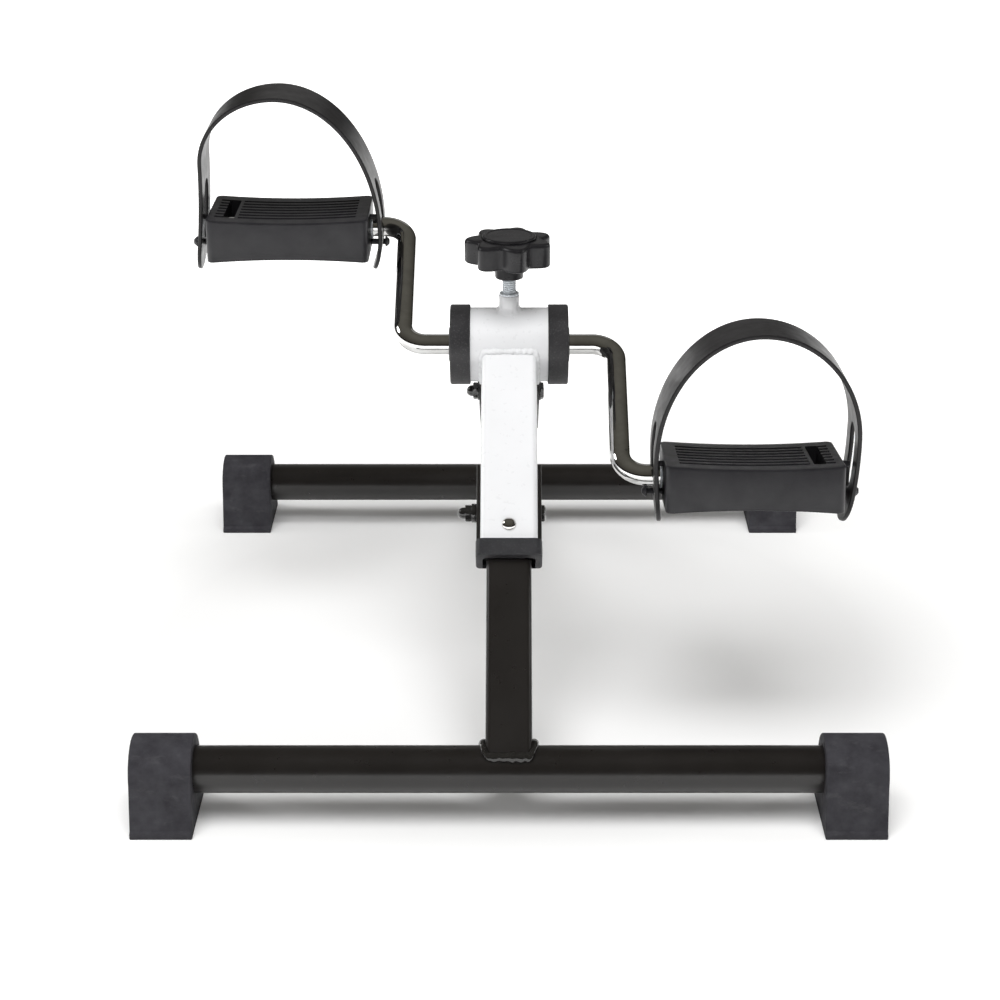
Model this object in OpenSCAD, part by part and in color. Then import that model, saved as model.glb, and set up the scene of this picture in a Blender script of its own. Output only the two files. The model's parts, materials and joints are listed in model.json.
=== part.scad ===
// Folding pedal exerciser: a one-piece crank in a hub on two splayed legs.
// Millimetres. +X is to the user's right, -Y is towards the viewer, +Z is up.
// The origin is on the floor, under the middle of the base.

/* [Base] */
// Overall width across the rubber feet
base_w = 400; // [380:1:440]
// Overall depth across the rubber feet
base_d = 460; // [450:1:480]
// Outer diameter of the round crossbars
bar_d = 25.4; // [24:0.2:26]
// Wall of the crossbars and legs
tube_wall = 1.5; // [1:0.1:2]
// Height of the crossbar axes above the floor
bar_z = 28; // [27:0.5:30]
// Width of a rubber foot along its crossbar
foot_w = 33; // [30:1:36]
// Depth of a rubber foot on the floor
foot_d = 52; // [48:1:56]
// Radius of a foot's rounded top
foot_r = 19.2; // [18:0.1:20]

/* [Legs] */
// Side of the square leg tubes
leg_w = 25; // [24:0.5:26]
// Side of the square stem tube
stem_w = 32; // [32:0.5:34]
// Wall of the stem tube
stem_wall = 2; // [1.5:0.1:2.5]
// Distance along the stem from the hub axis to the stem's lower end
stem_end = 136.5; // [130:0.5:142]
// Distance along the stem from the hub axis to the bracket bolt
bolt_t = 112; // [108:1:114]
// Distance along the stem from the hub axis to the snap button
button_t = 127.1; // [125:0.1:128]
// Diameter of the snap button
button_d = 7.9; // [7:0.1:9]

/* [Hub] */
// Height of the hub axis
hub_z = 198; // [195:1:205]
// Outer diameter of the hub barrel
hub_d = 43.6; // [43:0.2:45]
// Bare length of the barrel between the two caps
hub_bare = 45.5; // [44:0.5:47]
// Outer diameter of a hub cap
cap_d = 47; // [46:0.2:49]
// Length of a hub cap
cap_l = 11.8; // [11:0.1:13]

/* [Crank and pedals] */
// Diameter of the crank rod
rod_d = 12; // [11:0.5:12]
// Distance from the hub axis to a pedal axis
crank_r = 102; // [95:1:105]
// Distance from the middle of the hub to a crank arm
arm_x = 62.8; // [60:0.1:65]
// Centre-line radius of the crank's bends
bend_r = 14; // [13:0.5:15]
// Angle of the left arm above the horizontal
crank_angle = 27; // [0:1:60]
// Distance from the middle of the hub to the middle of a pedal
pedal_x = 135; // [134:0.1:136]
// Width of a pedal along its axle
pedal_w = 98.4; // [96:0.1:100]
// Depth of a pedal
pedal_d = 62; // [60:1:64]
// Height of a pedal at its ends
pedal_h = 27; // [26:0.5:29]
// Tilt of the right pedal, front edge up
pedal_tilt = 7.5; // [0:0.5:15]
// Width of a foot strap
strap_w = 40; // [38:1:44]
// Thickness of a foot strap
strap_t = 2.5; // [2:0.1:3]

/* [Tension knob] */
// Diameter over the knob's lobes
knob_d = 51.6; // [46:0.2:54]
// Number of lobes
knob_lobes = 7; // [6:1:8]
// Height of the lobed rim
knob_h = 14.7; // [12:0.1:16]
// Diameter of the threaded stud
stud_d = 8; // [7:0.5:8]

/* [Hidden] */
$fn = 64;

LEFT = -1;
RIGHT = 1;
FRONT = -1;
BACK = 1;

cut = 1;                 // how far a cutter runs past the face it cuts
run_fit = 0.05;          // radial clearance of a shaft that turns in its bore
gap = 0.3;               // room between pieces that pass each other

// Base
bar_r = bar_d / 2;
bar_y = base_d / 2 - foot_d / 2;
foot_end_wall = 5;
bar_end = base_w / 2 - foot_end_wall;
foot_lip = 3;            // height of the upright edge round a foot's sole
weld_t = 3.4;            // height of a weld bead
weld_reach = 30;         // how far up the leg the bead may start
foot_edge = 1.4;         // bevel above a foot's lip

// Stem: t runs down its centre line from the hub axis, y is its front normal
stem_tilt = atan2(hub_z - bar_z, bar_y);
stem_len = norm([bar_y, hub_z - bar_z]);
tube_corner = 3;
stem_in = stem_w - 2 * stem_wall;
leg_in = leg_w - 2 * tube_wall;
leg_top_t = 104;
fork_w = 7;              // notch in the leg's top that straddles the bracket bolt
bracket_t0 = 85;
bracket_wall = 2.3;
bracket_front = 8;
collar_l = 10.5;
collar_w = 37;
collar_back = -0.5;      // the collar's open back edge, on the stem's front normal
collar_corner = 4;
collar_sleeve = 5;
collar_gap = 1.1;        // room beside the leg

// Bolts
m6_r = 3;
hex_r = 5.3;
dome_r = 3.3;
pivot_hex_l = 2.6;       // nut and head lengths
pivot_head_l = 2;
bracket_hex_l = 3.4;
bracket_head_l = 2.3;
pivot_dome_l = 4;
bracket_dome_l = 4.4;

// Fold pivot behind the stem, under the hub
pivot_t = 14;
pivot_y = -30;
pivot = [bar_y * -pivot_t / stem_len - pivot_y * sin(stem_tilt),
         hub_z - pivot_t * sin(stem_tilt) + pivot_y * cos(stem_tilt)];
rear_tilt = atan2(pivot[1] - bar_z, bar_y - pivot[0]);
rear_len = norm([bar_y - pivot[0], pivot[1] - bar_z]);
lug_t = 3;
lug_r = 8.5;
ear_x = stem_w / 2 + 0.2;
ear_t = 1.6;
ear_r = 9;
ear_l = 63;
rear_leg_s0 = 20;        // distance from the pivot to the rear leg's upper end
washer_r = 5.6;
washer_t = 1;
washer_x = ear_x + ear_t + 0.1;
pivot_nut_x = washer_x + washer_t;
bracket_x = stem_w / 2 + bracket_wall;
spacer_l = 3;
spacer_r = 5.4;

// Hub
hub_r = hub_d / 2;
hub_in_r = hub_r - 2.5;
cap_end_wall = 2.2;
cap_end = hub_bare / 2 + cap_l;
hub_end = cap_end - cap_end_wall;
bushing_l = 14;
neck_r = 10;
neck_proud = 0.8;
boss_r = 6;
boss_flare_r = 8.6;
boss_flare_l = 4;
boss_top = 30.6;         // above the hub axis
stud_washer_t = 1.2;
stud_washer_r = 5.7;
rod_r = rod_d / 2;
shoe_gap = 0.4;
shoe_bottom = 2;
shoe_top = 13;
stud_clear = 0.1;        // between the stud's end and the shoe
shoe_w = 16;
shoe_d = 14;

// Snap button, along the stem's front normal
button_r = button_d / 2;
button_proud = 2.8;
button_dome_r = 4.6;
button_flange_r = 5.4;
button_flange_top = leg_in / 2 - 0.1;
spring_t = 0.8;
spring_w = 10;
spring_l = 27;           // from the button's middle down to the fold
spring_reach = 4.5;      // how far the arms pass the button's middle
spring_tip = 5.2;        // the free arm's end, clear of the button when it is pressed
spring_bend = 2;         // inside of the fold
spring_fold_w = 1.4;

// Knob, heights above the hub axis
stud_r = stud_d / 2;
knob_neck_z = 41;
knob_z = 50.2;
knob_neck_r = 8.3;
lobe_r = 6.4;
valley_r = 19.6;
head_h = 5.3;
head_r = 7.5;
knob_cap_r = 15.5;
knob_cap_h = 1.6;
knob_cap_in = 1.4;

// Pedal, in its own frame: x outwards from its middle, y back, z up
pedal_sag = 2;           // how far the top and bottom dip between the ends
sag_r = (pow(pedal_w / 2, 2) + pow(pedal_sag, 2)) / (2 * pedal_sag);
waist = pedal_h / 2 - pedal_sag;
pedal_corner = 4;
pedal_drop = 1.3;        // how far the block's middle lies below the axle
pedal_wall = 2.6;
pedal_roof = 6.5;        // height of the cavity's ceiling above the block's middle
axle_tube_r = 9;
rib_pitch = 6.6;
groove_n = 7;
groove_w = 3;
groove_h = 3;
groove_in = -42;
groove_out = 31;
pocket_in = 40.5;
pocket_out = 45.5;
slot_x = 36;
slot_w = 7;
slot_d = 42;
slot_floor = -1;         // level of the slot's floor, under the axle's middle
slot_wall = 2;
stay_x = 20;             // cross walls inside the pedal
peg_z = -9.4;
peg_r = 1.8;
peg_head_r = 3.2;
peg_head_l = 2.6;
peg_l = 11.5;
hook_r = 1.6;
hook_l = 5.5;
hook_yz = [-6, 8];
retainer_r = 7.5;
retainer_l = 1.25;

// Straps, in the pedal's frame. They bend freely, so each side has an arch of its own,
// with a widest point outside (out) and inside (in) the foot
strap_top_z = 84;        // top of both arches
strap_tip_x = 51;        // where a strap's ends hang, beside the pedal
tip_z = -26;
left_top_x = 6;
left_out_x = 52;
left_out_z = 44;
left_out_tip_x = 57;     // this end is bent outwards
left_in_x = 56;
left_in_z = -2;
left_lean = 1.5;         // forward lean about the pegs
right_top_x = 3;
right_out_x = 57;
right_out_z = 26;
right_in_x = 54;
right_in_z = 13;
right_lean = 3.5;
peg_hole_r = peg_r + 0.2;
strap_slot_w = 16;
strap_slot_top = 30.5;
strap_slot_bottom = -6.3;
arch_steps = 24;
side_steps = 12;

// Extrudes a flat shape drawn in (Y, Z) from X = x0 to X = x1
module along_x(x0, x1) {
  translate([x0, 0, 0]) rotate([90, 0, 90]) linear_extrude(x1 - x0) children();
}

// A bar along X
module rod_x(x0, x1, r) {
  translate([x0, 0, 0]) rotate([0, 90, 0]) cylinder(h = x1 - x0, r = r);
}

module rounded_rect(w, d, r) {
  square([w - 2 * r, d], center = true);
  square([w, d - 2 * r], center = true);
  for (sx = [-1, 1], sy = [-1, 1])
    translate([sx * (w / 2 - r), sy * (d / 2 - r)]) circle(r);
}

module square_bar(w, z0, z1, r = tube_corner) {
  translate([0, 0, z0]) linear_extrude(z1 - z0) rounded_rect(w, w, r);
}

module square_tube(w, wall, z0, z1) {
  translate([0, 0, z0]) linear_extrude(z1 - z0) difference() {
    rounded_rect(w, w, tube_corner);
    rounded_rect(w - 2 * wall, w - 2 * wall, tube_corner - wall / 2);
  }
}

// Frames: z runs down the tube, from the hub axis or from the fold pivot
module on_hub() { translate([0, 0, hub_z]) children(); }
module on_stem() { on_hub() rotate([90 + stem_tilt, 0, 0]) children(); }
module on_rear_leg() {
  translate([0, pivot[0], pivot[1]]) rotate([-90 - rear_tilt, 0, 0]) children();
}
module on_leg(side) {
  if (side == FRONT) on_stem() children();
  else on_rear_leg() children();
}
module on_bar(side) { translate([0, side * bar_y, bar_z]) children(); }

module hub_space() { on_hub() rod_x(-cap_end, cap_end, hub_r); }
module bar_space(side) { on_bar(side) rod_x(-bar_end, bar_end, bar_r); }

// ---- Base ----

module crossbar(side) {
  color("#1c1b1a") on_bar(side) difference() {
    rod_x(-bar_end, bar_end, bar_r);
    rod_x(-bar_end - cut, bar_end + cut, bar_r - tube_wall);
  }
}

module foot_outline() {
  half = foot_d / 2;
  translate([0, bar_z]) circle(foot_r);
  polygon([[-half, 0], [half, 0], [half, foot_lip],
           [half - foot_edge, foot_lip + foot_edge], [foot_r, bar_z], [-foot_r, bar_z],
           [foot_edge - half, foot_lip + foot_edge],
           [-half, foot_lip]]);
}

module foot(bar_side, side) {
  inner = base_w / 2 - foot_w;
  color("#464549") mirror([side < 0 ? 1 : 0, 0, 0]) difference() {
    translate([0, bar_side * bar_y, 0]) along_x(inner, base_w / 2) foot_outline();
    on_bar(bar_side) rod_x(inner - cut, bar_end, bar_r);
  }
}

module front_crossbar() { crossbar(FRONT); }
module rear_crossbar() { crossbar(BACK); }
module foot_front_left() { foot(FRONT, LEFT); }
module foot_front_right() { foot(FRONT, RIGHT); }
module foot_rear_left() { foot(BACK, LEFT); }
module foot_rear_right() { foot(BACK, RIGHT); }

// A bead that wraps the crossbar round the end of its leg
module weld(side) {
  len = side == FRONT ? stem_len : rear_len;
  color("#121212") difference() {
    intersection() {
      on_leg(side) square_bar(leg_w + 2 * weld_t, len - weld_reach, len, tube_corner + 2);
      on_bar(side) rod_x(-leg_w, leg_w, bar_r + weld_t);
    }
    on_leg(side) square_bar(leg_w, len - weld_reach - cut, len + cut);
    bar_space(side);
  }
}

module front_weld() { weld(FRONT); }
module rear_weld() { weld(BACK); }

// ---- Front leg and stem ----

module stem() {
  color("#f4f5f7") difference() {
    on_stem() square_tube(stem_w, stem_wall, pivot_t - 4, stem_end);
    hub_space();
    on_stem() translate([0, 0, bolt_t]) rod_x(-stem_w, stem_w, m6_r);
    on_stem() translate([0, 0, button_t]) rotate([-90, 0, 0])
      cylinder(h = stem_w, r = button_r + run_fit);
  }
}

module front_leg() {
  color("#1c1b1a") difference() {
    on_stem() square_tube(leg_w, tube_wall, leg_top_t, stem_len);
    bar_space(FRONT);
    on_stem() translate([0, 0, bolt_t]) {
      rod_x(-leg_w, leg_w, fork_w / 2);
      translate([-leg_w, -fork_w / 2, leg_top_t - bolt_t - cut])
        cube([2 * leg_w, fork_w, bolt_t - leg_top_t + cut]);
    }
    on_stem() translate([0, 0, button_t]) rotate([-90, 0, 0])
      cylinder(h = stem_w, r = button_r + run_fit);
  }
}

// U-shaped plate that wraps the stem from behind
module leg_bracket() {
  color("#1c1b1a") on_stem() difference() {
    intersection() {
      square_bar(2 * bracket_x, bracket_t0, stem_end, tube_corner + bracket_wall);
      translate([-bracket_x, -bracket_x, bracket_t0])
        cube([2 * bracket_x, bracket_x + bracket_front, stem_end - bracket_t0]);
    }
    square_bar(stem_w, bracket_t0 - cut, stem_end + cut);
    translate([-stem_w / 2, 0, bracket_t0 - cut])
      cube([stem_w, stem_w, stem_end - bracket_t0 + 2 * cut]);
    translate([0, 0, bolt_t]) rod_x(-stem_w, stem_w, m6_r);
  }
}

// A clip, open at the back, round the end of the stem, and a sleeve that fills the stem
module leg_collar() {
  front = collar_w / 2;
  hole_w = leg_w + 2 * collar_gap;
  color("#3a393c") on_stem() {
    translate([0, 0, stem_end]) linear_extrude(collar_l) difference() {
      translate([0, (front + collar_back) / 2])
        rounded_rect(collar_w, front - collar_back, collar_corner);
      translate([-hole_w / 2, -collar_w]) square([hole_w, collar_w + leg_w / 2 + run_fit]);
    }
    difference() {
      square_bar(stem_in, stem_end - collar_sleeve, stem_end, tube_corner - stem_wall / 2);
      square_bar(leg_w + 2 * run_fit, stem_end - collar_sleeve - cut, stem_end + cut);
    }
    translate([-stem_in / 2 + tube_corner, leg_w / 2 + run_fit, stem_end - collar_sleeve])
      cube([stem_in - 2 * tube_corner, stem_in / 2 - leg_w / 2 - run_fit, collar_sleeve + 1]);
  }
}

module snap_button() {
  color("#c9cbcc") on_stem() translate([0, 0, button_t]) rotate([-90, 0, 0]) {
    translate([0, 0, button_flange_top - 1]) cylinder(h = 1, r = button_flange_r);
    intersection() {
      translate([0, 0, button_flange_top - 1]) cylinder(h = leg_w, r = button_r);
      translate([0, 0, stem_w / 2 + button_proud - button_dome_r]) union() {
        sphere(button_dome_r);
        translate([0, 0, -leg_w]) cylinder(h = leg_w, r = button_dome_r);
      }
    }
  }
}

// A bent strip in the leg: one arm lies on the back wall, one reaches up to the button
module snap_spring() {
  back = -leg_in / 2;
  arm_end = button_t - spring_reach;
  fold = button_t + spring_l;
  color("#8d8f91") on_stem() along_x(-spring_w / 2, spring_w / 2)
    polygon([[back, arm_end], [back + spring_t, arm_end],
             [back + spring_t, fold - spring_bend],
             [spring_tip - spring_t, arm_end - spring_t / 2], [spring_tip, arm_end],
             [back + spring_fold_w, fold + spring_t], [back, fold + spring_t]]);
}

// ---- Bolts ----

module acorn_nut(x, hex_l, dome_l) {
  translate([-x, 0, 0]) rotate([0, -90, 0]) difference() {
    union() {
      cylinder(h = hex_l, r = hex_r, $fn = 6);
      translate([0, 0, hex_l]) cylinder(h = dome_l - dome_r, r = dome_r);
      translate([0, 0, hex_l + dome_l - dome_r]) sphere(dome_r);
    }
    translate([0, 0, -cut]) cylinder(h = hex_l + cut, r = m6_r);
  }
}

module bolt(x_nut, x_head, head_l) {
  rod_x(-x_nut, x_head, m6_r);
  translate([x_head, 0, 0]) rotate([0, 90, 0]) cylinder(h = head_l, r = hex_r, $fn = 6);
}

module at_pivot() { translate([0, pivot[0], pivot[1]]) children(); }
module at_bracket_bolt() { on_stem() translate([0, 0, bolt_t]) children(); }

module pivot_washers() {
  color("#1b1b1b") at_pivot() for (side = [LEFT, RIGHT]) mirror([side < 0 ? 1 : 0, 0, 0])
    difference() {
      rod_x(washer_x, pivot_nut_x, washer_r);
      rod_x(washer_x - cut, pivot_nut_x + cut, m6_r);
    }
}
module pivot_bolt() {
  color("#1b1b1b") at_pivot()
    bolt(pivot_nut_x + pivot_hex_l, pivot_nut_x, pivot_head_l);
}
module pivot_acorn_nut() {
  color("#1b1b1b") at_pivot() acorn_nut(pivot_nut_x, pivot_hex_l, pivot_dome_l);
}

module bracket_spacer() {
  color("#1b1b1b") at_bracket_bolt() difference() {
    rod_x(-bracket_x - spacer_l, -bracket_x, spacer_r);
    rod_x(-bracket_x - spacer_l - cut, -bracket_x + cut, m6_r);
  }
}
module bracket_bolt() {
  color("#1b1b1b") at_bracket_bolt() 
    bolt(bracket_x + spacer_l + bracket_hex_l, bracket_x, bracket_head_l);
}
module bracket_acorn_nut() {
  color("#1b1b1b") at_bracket_bolt() 
    acorn_nut(bracket_x + spacer_l, bracket_hex_l, bracket_dome_l);
}

// ---- Folding rear leg ----

// Two plates behind the stem that carry the fold pivot
module pivot_lugs() {
  color("#f4f5f7") difference() {
    on_stem() for (side = [LEFT, RIGHT]) mirror([side < 0 ? 1 : 0, 0, 0])
      along_x(stem_w / 2 - lug_t, stem_w / 2) difference() {
        union() {
          translate([pivot_y, pivot_t]) circle(lug_r);
          translate([pivot_y, pivot_t - lug_r])
            square([-pivot_y - stem_w / 2, 2 * lug_r]);
        }
        translate([pivot_y, pivot_t]) circle(m6_r);
      }
    hub_space();
  }
}

// Open-sided channel: two ears on the pivot bolt and a web along the leg's top
module rear_leg_bracket() {
  top = -leg_w / 2;
  color("#1c1b1a") on_rear_leg() {
    difference() {
      for (side = [LEFT, RIGHT]) mirror([side < 0 ? 1 : 0, 0, 0])
        along_x(ear_x, ear_x + ear_t) union() {
          circle(ear_r);
          translate([top - ear_t, 0]) square([ear_r - top + ear_t, ear_l]);
        }
      rod_x(-stem_w, stem_w, m6_r + run_fit);
    }
    translate([-ear_x, top - ear_t, 2]) cube([2 * ear_x, ear_t, ear_l - 2]);
  }
}

module rear_leg() {
  color("#1c1b1a") difference() {
    on_rear_leg() square_tube(leg_w, tube_wall, rear_leg_s0, rear_len);
    bar_space(BACK);
  }
}

// ---- Hub ----

module hub_barrel() {
  color("#f4f5f7") on_hub() difference() {
    rod_x(-hub_end, hub_end, hub_r);
    rod_x(-hub_end - cut, hub_end + cut, hub_in_r);
    cylinder(h = hub_d, r = stud_r + run_fit);
  }
}

module hub_boss() {
  color("#f4f5f7") difference() {
    on_hub() difference() {
      union() {
        translate([0, 0, hub_in_r]) cylinder(h = boss_top - hub_in_r, r = boss_r);
        translate([0, 0, hub_r - 1])
          cylinder(h = boss_flare_l, r1 = boss_flare_r, r2 = boss_r);
      }
      cylinder(h = boss_top + cut, r = stud_r + run_fit);
    }
    hub_space();
  }
}

module stud_washer() {
  color("#c3c9cc") on_hub() translate([0, 0, boss_top]) difference() {
    cylinder(h = stud_washer_t, r = stud_washer_r);
    translate([0, 0, -cut]) cylinder(h = stud_washer_t + 2 * cut, r = stud_r + run_fit);
  }
}

module hub_cap(side) {
  x0 = hub_bare / 2;
  color("#353437") on_hub() mirror([side < 0 ? 1 : 0, 0, 0]) difference() {
    rod_x(x0, cap_end, cap_d / 2);
    rod_x(x0 - cut, hub_end, hub_r);
    rod_x(x0, cap_end + cut, neck_r);
  }
}

module hub_bushing(side) {
  color("#d9d6cc") on_hub() mirror([side < 0 ? 1 : 0, 0, 0]) difference() {
    union() {
      rod_x(hub_end - bushing_l, hub_end, hub_in_r);
      rod_x(hub_end, cap_end + neck_proud, neck_r);
    }
    rod_x(hub_end - bushing_l - cut, cap_end + neck_proud + cut, rod_r + run_fit);
  }
}

module hub_cap_left() { hub_cap(LEFT); }
module hub_cap_right() { hub_cap(RIGHT); }
module hub_bushing_left() { hub_bushing(LEFT); }
module hub_bushing_right() { hub_bushing(RIGHT); }

// ---- Tension screw ----

// Friction pad over the crank rod, pushed down by the stud
module brake_shoe() {
  color("#7a5a3a") on_hub() difference() {
    translate([-shoe_w / 2, -shoe_d / 2, shoe_bottom])
      cube([shoe_w, shoe_d, shoe_top - shoe_bottom]);
    rod_x(-shoe_w, shoe_w, rod_r + shoe_gap);
  }
}

module tension_stud() {
  color("#c3c9cc") on_hub() {
    translate([0, 0, shoe_top + stud_clear])
      cylinder(h = knob_z - shoe_top - stud_clear, r = stud_r);
    translate([0, 0, knob_z]) cylinder(h = head_h, r = head_r, $fn = 6);
  }
}

module knob_body() {
  ring_r = knob_d / 2 - lobe_r;
  color("#333235") on_hub() difference() {
    union() {
      translate([0, 0, knob_neck_z]) cylinder(h = knob_z - knob_neck_z, r = knob_neck_r);
      translate([0, 0, knob_z]) linear_extrude(knob_h) {
        circle(valley_r);
        for (k = [0:knob_lobes - 1])
          rotate(360 * (k + 0.5) / knob_lobes) translate([ring_r, 0]) circle(lobe_r);
      }
    }
    translate([0, 0, knob_neck_z - cut]) cylinder(h = knob_h, r = stud_r);
    translate([0, 0, knob_z]) cylinder(h = head_h, r = head_r, $fn = 6);
    translate([0, 0, knob_z + knob_h - knob_cap_in])
      cylinder(h = knob_cap_in + cut, r = knob_cap_r);
  }
}

module knob_cap() {
  color("#3a393b") on_hub() translate([0, 0, knob_z + knob_h - knob_cap_in])
    cylinder(h = knob_cap_in + knob_cap_h, r = knob_cap_r);
}

// ---- Crank ----

// Half of the rod, from the middle of the hub to the end of a pedal axle, arm along +Y
module half_crank() {
  axle_end = pedal_x + pedal_w / 2 + gap;
  rod_x(0, arm_x - bend_r, rod_r);
  translate([arm_x - bend_r, bend_r, 0]) rotate(-90)
    rotate_extrude(angle = 90) translate([bend_r, 0]) circle(rod_r);
  translate([arm_x, bend_r, 0]) rotate([-90, 0, 0])
    cylinder(h = crank_r - 2 * bend_r, r = rod_r);
  translate([arm_x + bend_r, crank_r - bend_r, 0]) rotate(90)
    rotate_extrude(angle = 90) translate([bend_r, 0]) circle(rod_r);
  translate([0, crank_r, 0]) rod_x(arm_x + bend_r, axle_end, rod_r);
}

module crank() {
  color("#b9bbbd") on_hub() {
    rotate([crank_angle + 180, 0, 0]) half_crank();
    rotate([crank_angle, 0, 0]) mirror([1, 0, 0]) half_crank();
  }
}

// A pedal's frame, mirrored on the left so that +x always points outwards
module at_pedal(side) {
  y = -side * crank_r * cos(crank_angle);
  z = hub_z - side * crank_r * sin(crank_angle);
  translate([side * pedal_x, y, z]) rotate([side > 0 ? -pedal_tilt : 0, 0, 0])
    mirror([side < 0 ? 1 : 0, 0, 0]) children();
}

// Pressed-on rings that keep the pedal on its axle
module axle_retainers(side) {
  x0 = pedal_w / 2 + gap;
  color("#9a9c9e") at_pedal(side) {
    difference() {
      rod_x(-x0 - retainer_l, -x0, retainer_r);
      rod_x(-x0 - retainer_l - cut, -x0 + cut, rod_r);
    }
    rod_x(x0, x0 + retainer_l, retainer_r);
  }
}

module axle_retainers_left() { axle_retainers(LEFT); }
module axle_retainers_right() { axle_retainers(RIGHT); }

// ---- Pedal ----

// Runs a flat shape drawn in (x, z) through the pedal's depth, front to back
module along_y(d) { rotate([90, 0, 0]) linear_extrude(d, center = true) children(); }

module pedal_block() {
  intersection() {
    along_y(pedal_d) difference() {
      square([pedal_w, pedal_h], center = true);
      for (s = [-1, 1]) translate([0, s * (waist + sag_r)]) circle(sag_r, $fn = 720);
    }
    linear_extrude(pedal_h, center = true) rounded_rect(pedal_w, pedal_d, pedal_corner);
  }
}

module tread_cuts() {
  intersection() {
    along_y(pedal_d) translate([0, waist + sag_r]) circle(sag_r + groove_h, $fn = 720);
    for (k = [0:groove_n - 1]) {
      y = (k - (groove_n - 1) / 2) * rib_pitch - groove_w / 2;
      translate([groove_in, y, 0]) cube([groove_out - groove_in, groove_w, pedal_h]);
      translate([pocket_in, y, 0]) cube([pocket_out - pocket_in, groove_w, pedal_h]);
    }
  }
}

module pedal_cavity() {
  half = pedal_w / 2 - pedal_wall;
  edges = [-half, -stay_x, stay_x, half];
  for (k = [0:2]) {
    x0 = edges[k] + (k > 0 ? pedal_wall / 2 : 0);
    x1 = edges[k + 1] - (k < 2 ? pedal_wall / 2 : 0);
    translate([x0, pedal_wall - pedal_d / 2, -pedal_h])
      cube([x1 - x0, pedal_d - 2 * pedal_wall, pedal_h + pedal_roof]);
  }
}

module pedal_peg() {
  head_x = pedal_w / 2 + peg_l - peg_head_l;
  translate([0, 0, peg_z]) {
    rod_x(pedal_w / 2 - cut, head_x, peg_r);
    translate([head_x, 0, 0]) rotate([0, 90, 0])
      cylinder(h = peg_head_l, r1 = peg_head_r, r2 = peg_r);
  }
  translate([0, hook_yz[0], hook_yz[1]])
    rod_x(pedal_w / 2 - cut, pedal_w / 2 + hook_l, hook_r);
}

// A box across the pedal, under the slot in its top, from level z0 up
module slot_box(w, d, z0, h) {
  translate([slot_x - w / 2, -d / 2, z0]) cube([w, d, h]);
}

module pedal() {
  color("#3b3a3d") difference() {
    union() {
      translate([0, 0, -pedal_drop]) difference() {
        pedal_block();
        pedal_cavity();
      }
      rod_x(cut - pedal_w / 2, pedal_w / 2 - cut, axle_tube_r);
      slot_box(slot_w + 2 * slot_wall, slot_d + 2 * slot_wall, slot_floor - slot_wall,
               slot_wall - slot_floor + pedal_roof);
      pedal_peg();
      mirror([1, 0, 0]) pedal_peg();
    }
    translate([0, 0, -pedal_drop]) tread_cuts();
    slot_box(slot_w, slot_d, slot_floor, pedal_h);
    rod_x(-pedal_w, pedal_w, rod_r + run_fit);
  }
}

module pedal_left() { at_pedal(LEFT) pedal(); }
module pedal_right() { at_pedal(RIGHT) pedal(); }

// ---- Strap ----

// Half of a strap's centre line, from its tip up to the top of the arch. sx is 1 outside
// and -1 inside; top is the arch's top; wide is [x and z of the widest point, x of the tip]
function half_line(sx, top, wide) = concat(
  [for (k = [0:side_steps - 1])
    let (down = 1 - k / side_steps)
    [sx * (wide[0] + (wide[2] - wide[0]) * down * down), wide[1] + (tip_z - wide[1]) * down]],
  [for (k = [0:arch_steps])
    let (a = 90 * k / arch_steps)
    [top[0] + (sx * wide[0] - top[0]) * cos(a), wide[1] + (top[1] - wide[1]) * sin(a)]]);

function unit(v) = v / norm(v);
function normal_at(line, k) =
  let (a = line[max(k - 1, 0)], b = line[min(k + 1, len(line) - 1)], d = unit(b - a))
  [d[1], -d[0]];
function offset_line(line, d) =
  [for (k = [0:len(line) - 1]) line[k] + d * normal_at(line, k)];
function reversed(line, from = 1) = [for (k = [len(line) - from:-1:0]) line[k]];
function strap_line(top, outside, inside) =
  concat(half_line(1, top, outside), reversed(half_line(-1, top, inside), 2));

module strap(top, outside, inside) {
  line = strap_line(top, outside, inside);
  color("#2f2e31") difference() {
    intersection() {
      along_y(strap_w) polygon(concat(offset_line(line, strap_t / 2),
                                      reversed(offset_line(line, -strap_t / 2))));
      along_x(-pedal_w, pedal_w) union() {
        translate([0, tip_z + strap_w / 2]) circle(strap_w / 2);
        translate([-strap_w / 2, tip_z + strap_w / 2]) square([strap_w, 2 * pedal_w]);
      }
    }
    along_x(-pedal_w, pedal_w) {
      for (z = [strap_slot_bottom + strap_slot_w / 2, strap_slot_top - strap_slot_w / 2])
        translate([0, z]) circle(strap_slot_w / 2);
      translate([-strap_slot_w / 2, strap_slot_bottom + strap_slot_w / 2])
        square([strap_slot_w, strap_slot_top - strap_slot_bottom - strap_slot_w]);
      translate([0, peg_z]) circle(peg_hole_r);
    }
  }
}

// Leans a strap forward about its pegs
module leaning(a) {
  translate([0, 0, peg_z]) rotate([a, 0, 0]) translate([0, 0, -peg_z]) children();
}

module strap_left() {
  at_pedal(LEFT) leaning(left_lean)
    strap([left_top_x, strap_top_z], [left_out_x, left_out_z, left_out_tip_x],
          [left_in_x, left_in_z, strap_tip_x]);
}

module strap_right() {
  at_pedal(RIGHT) leaning(right_lean)
    strap([right_top_x, strap_top_z], [right_out_x, right_out_z, strap_tip_x],
          [right_in_x, right_in_z, strap_tip_x]);
}

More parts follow.
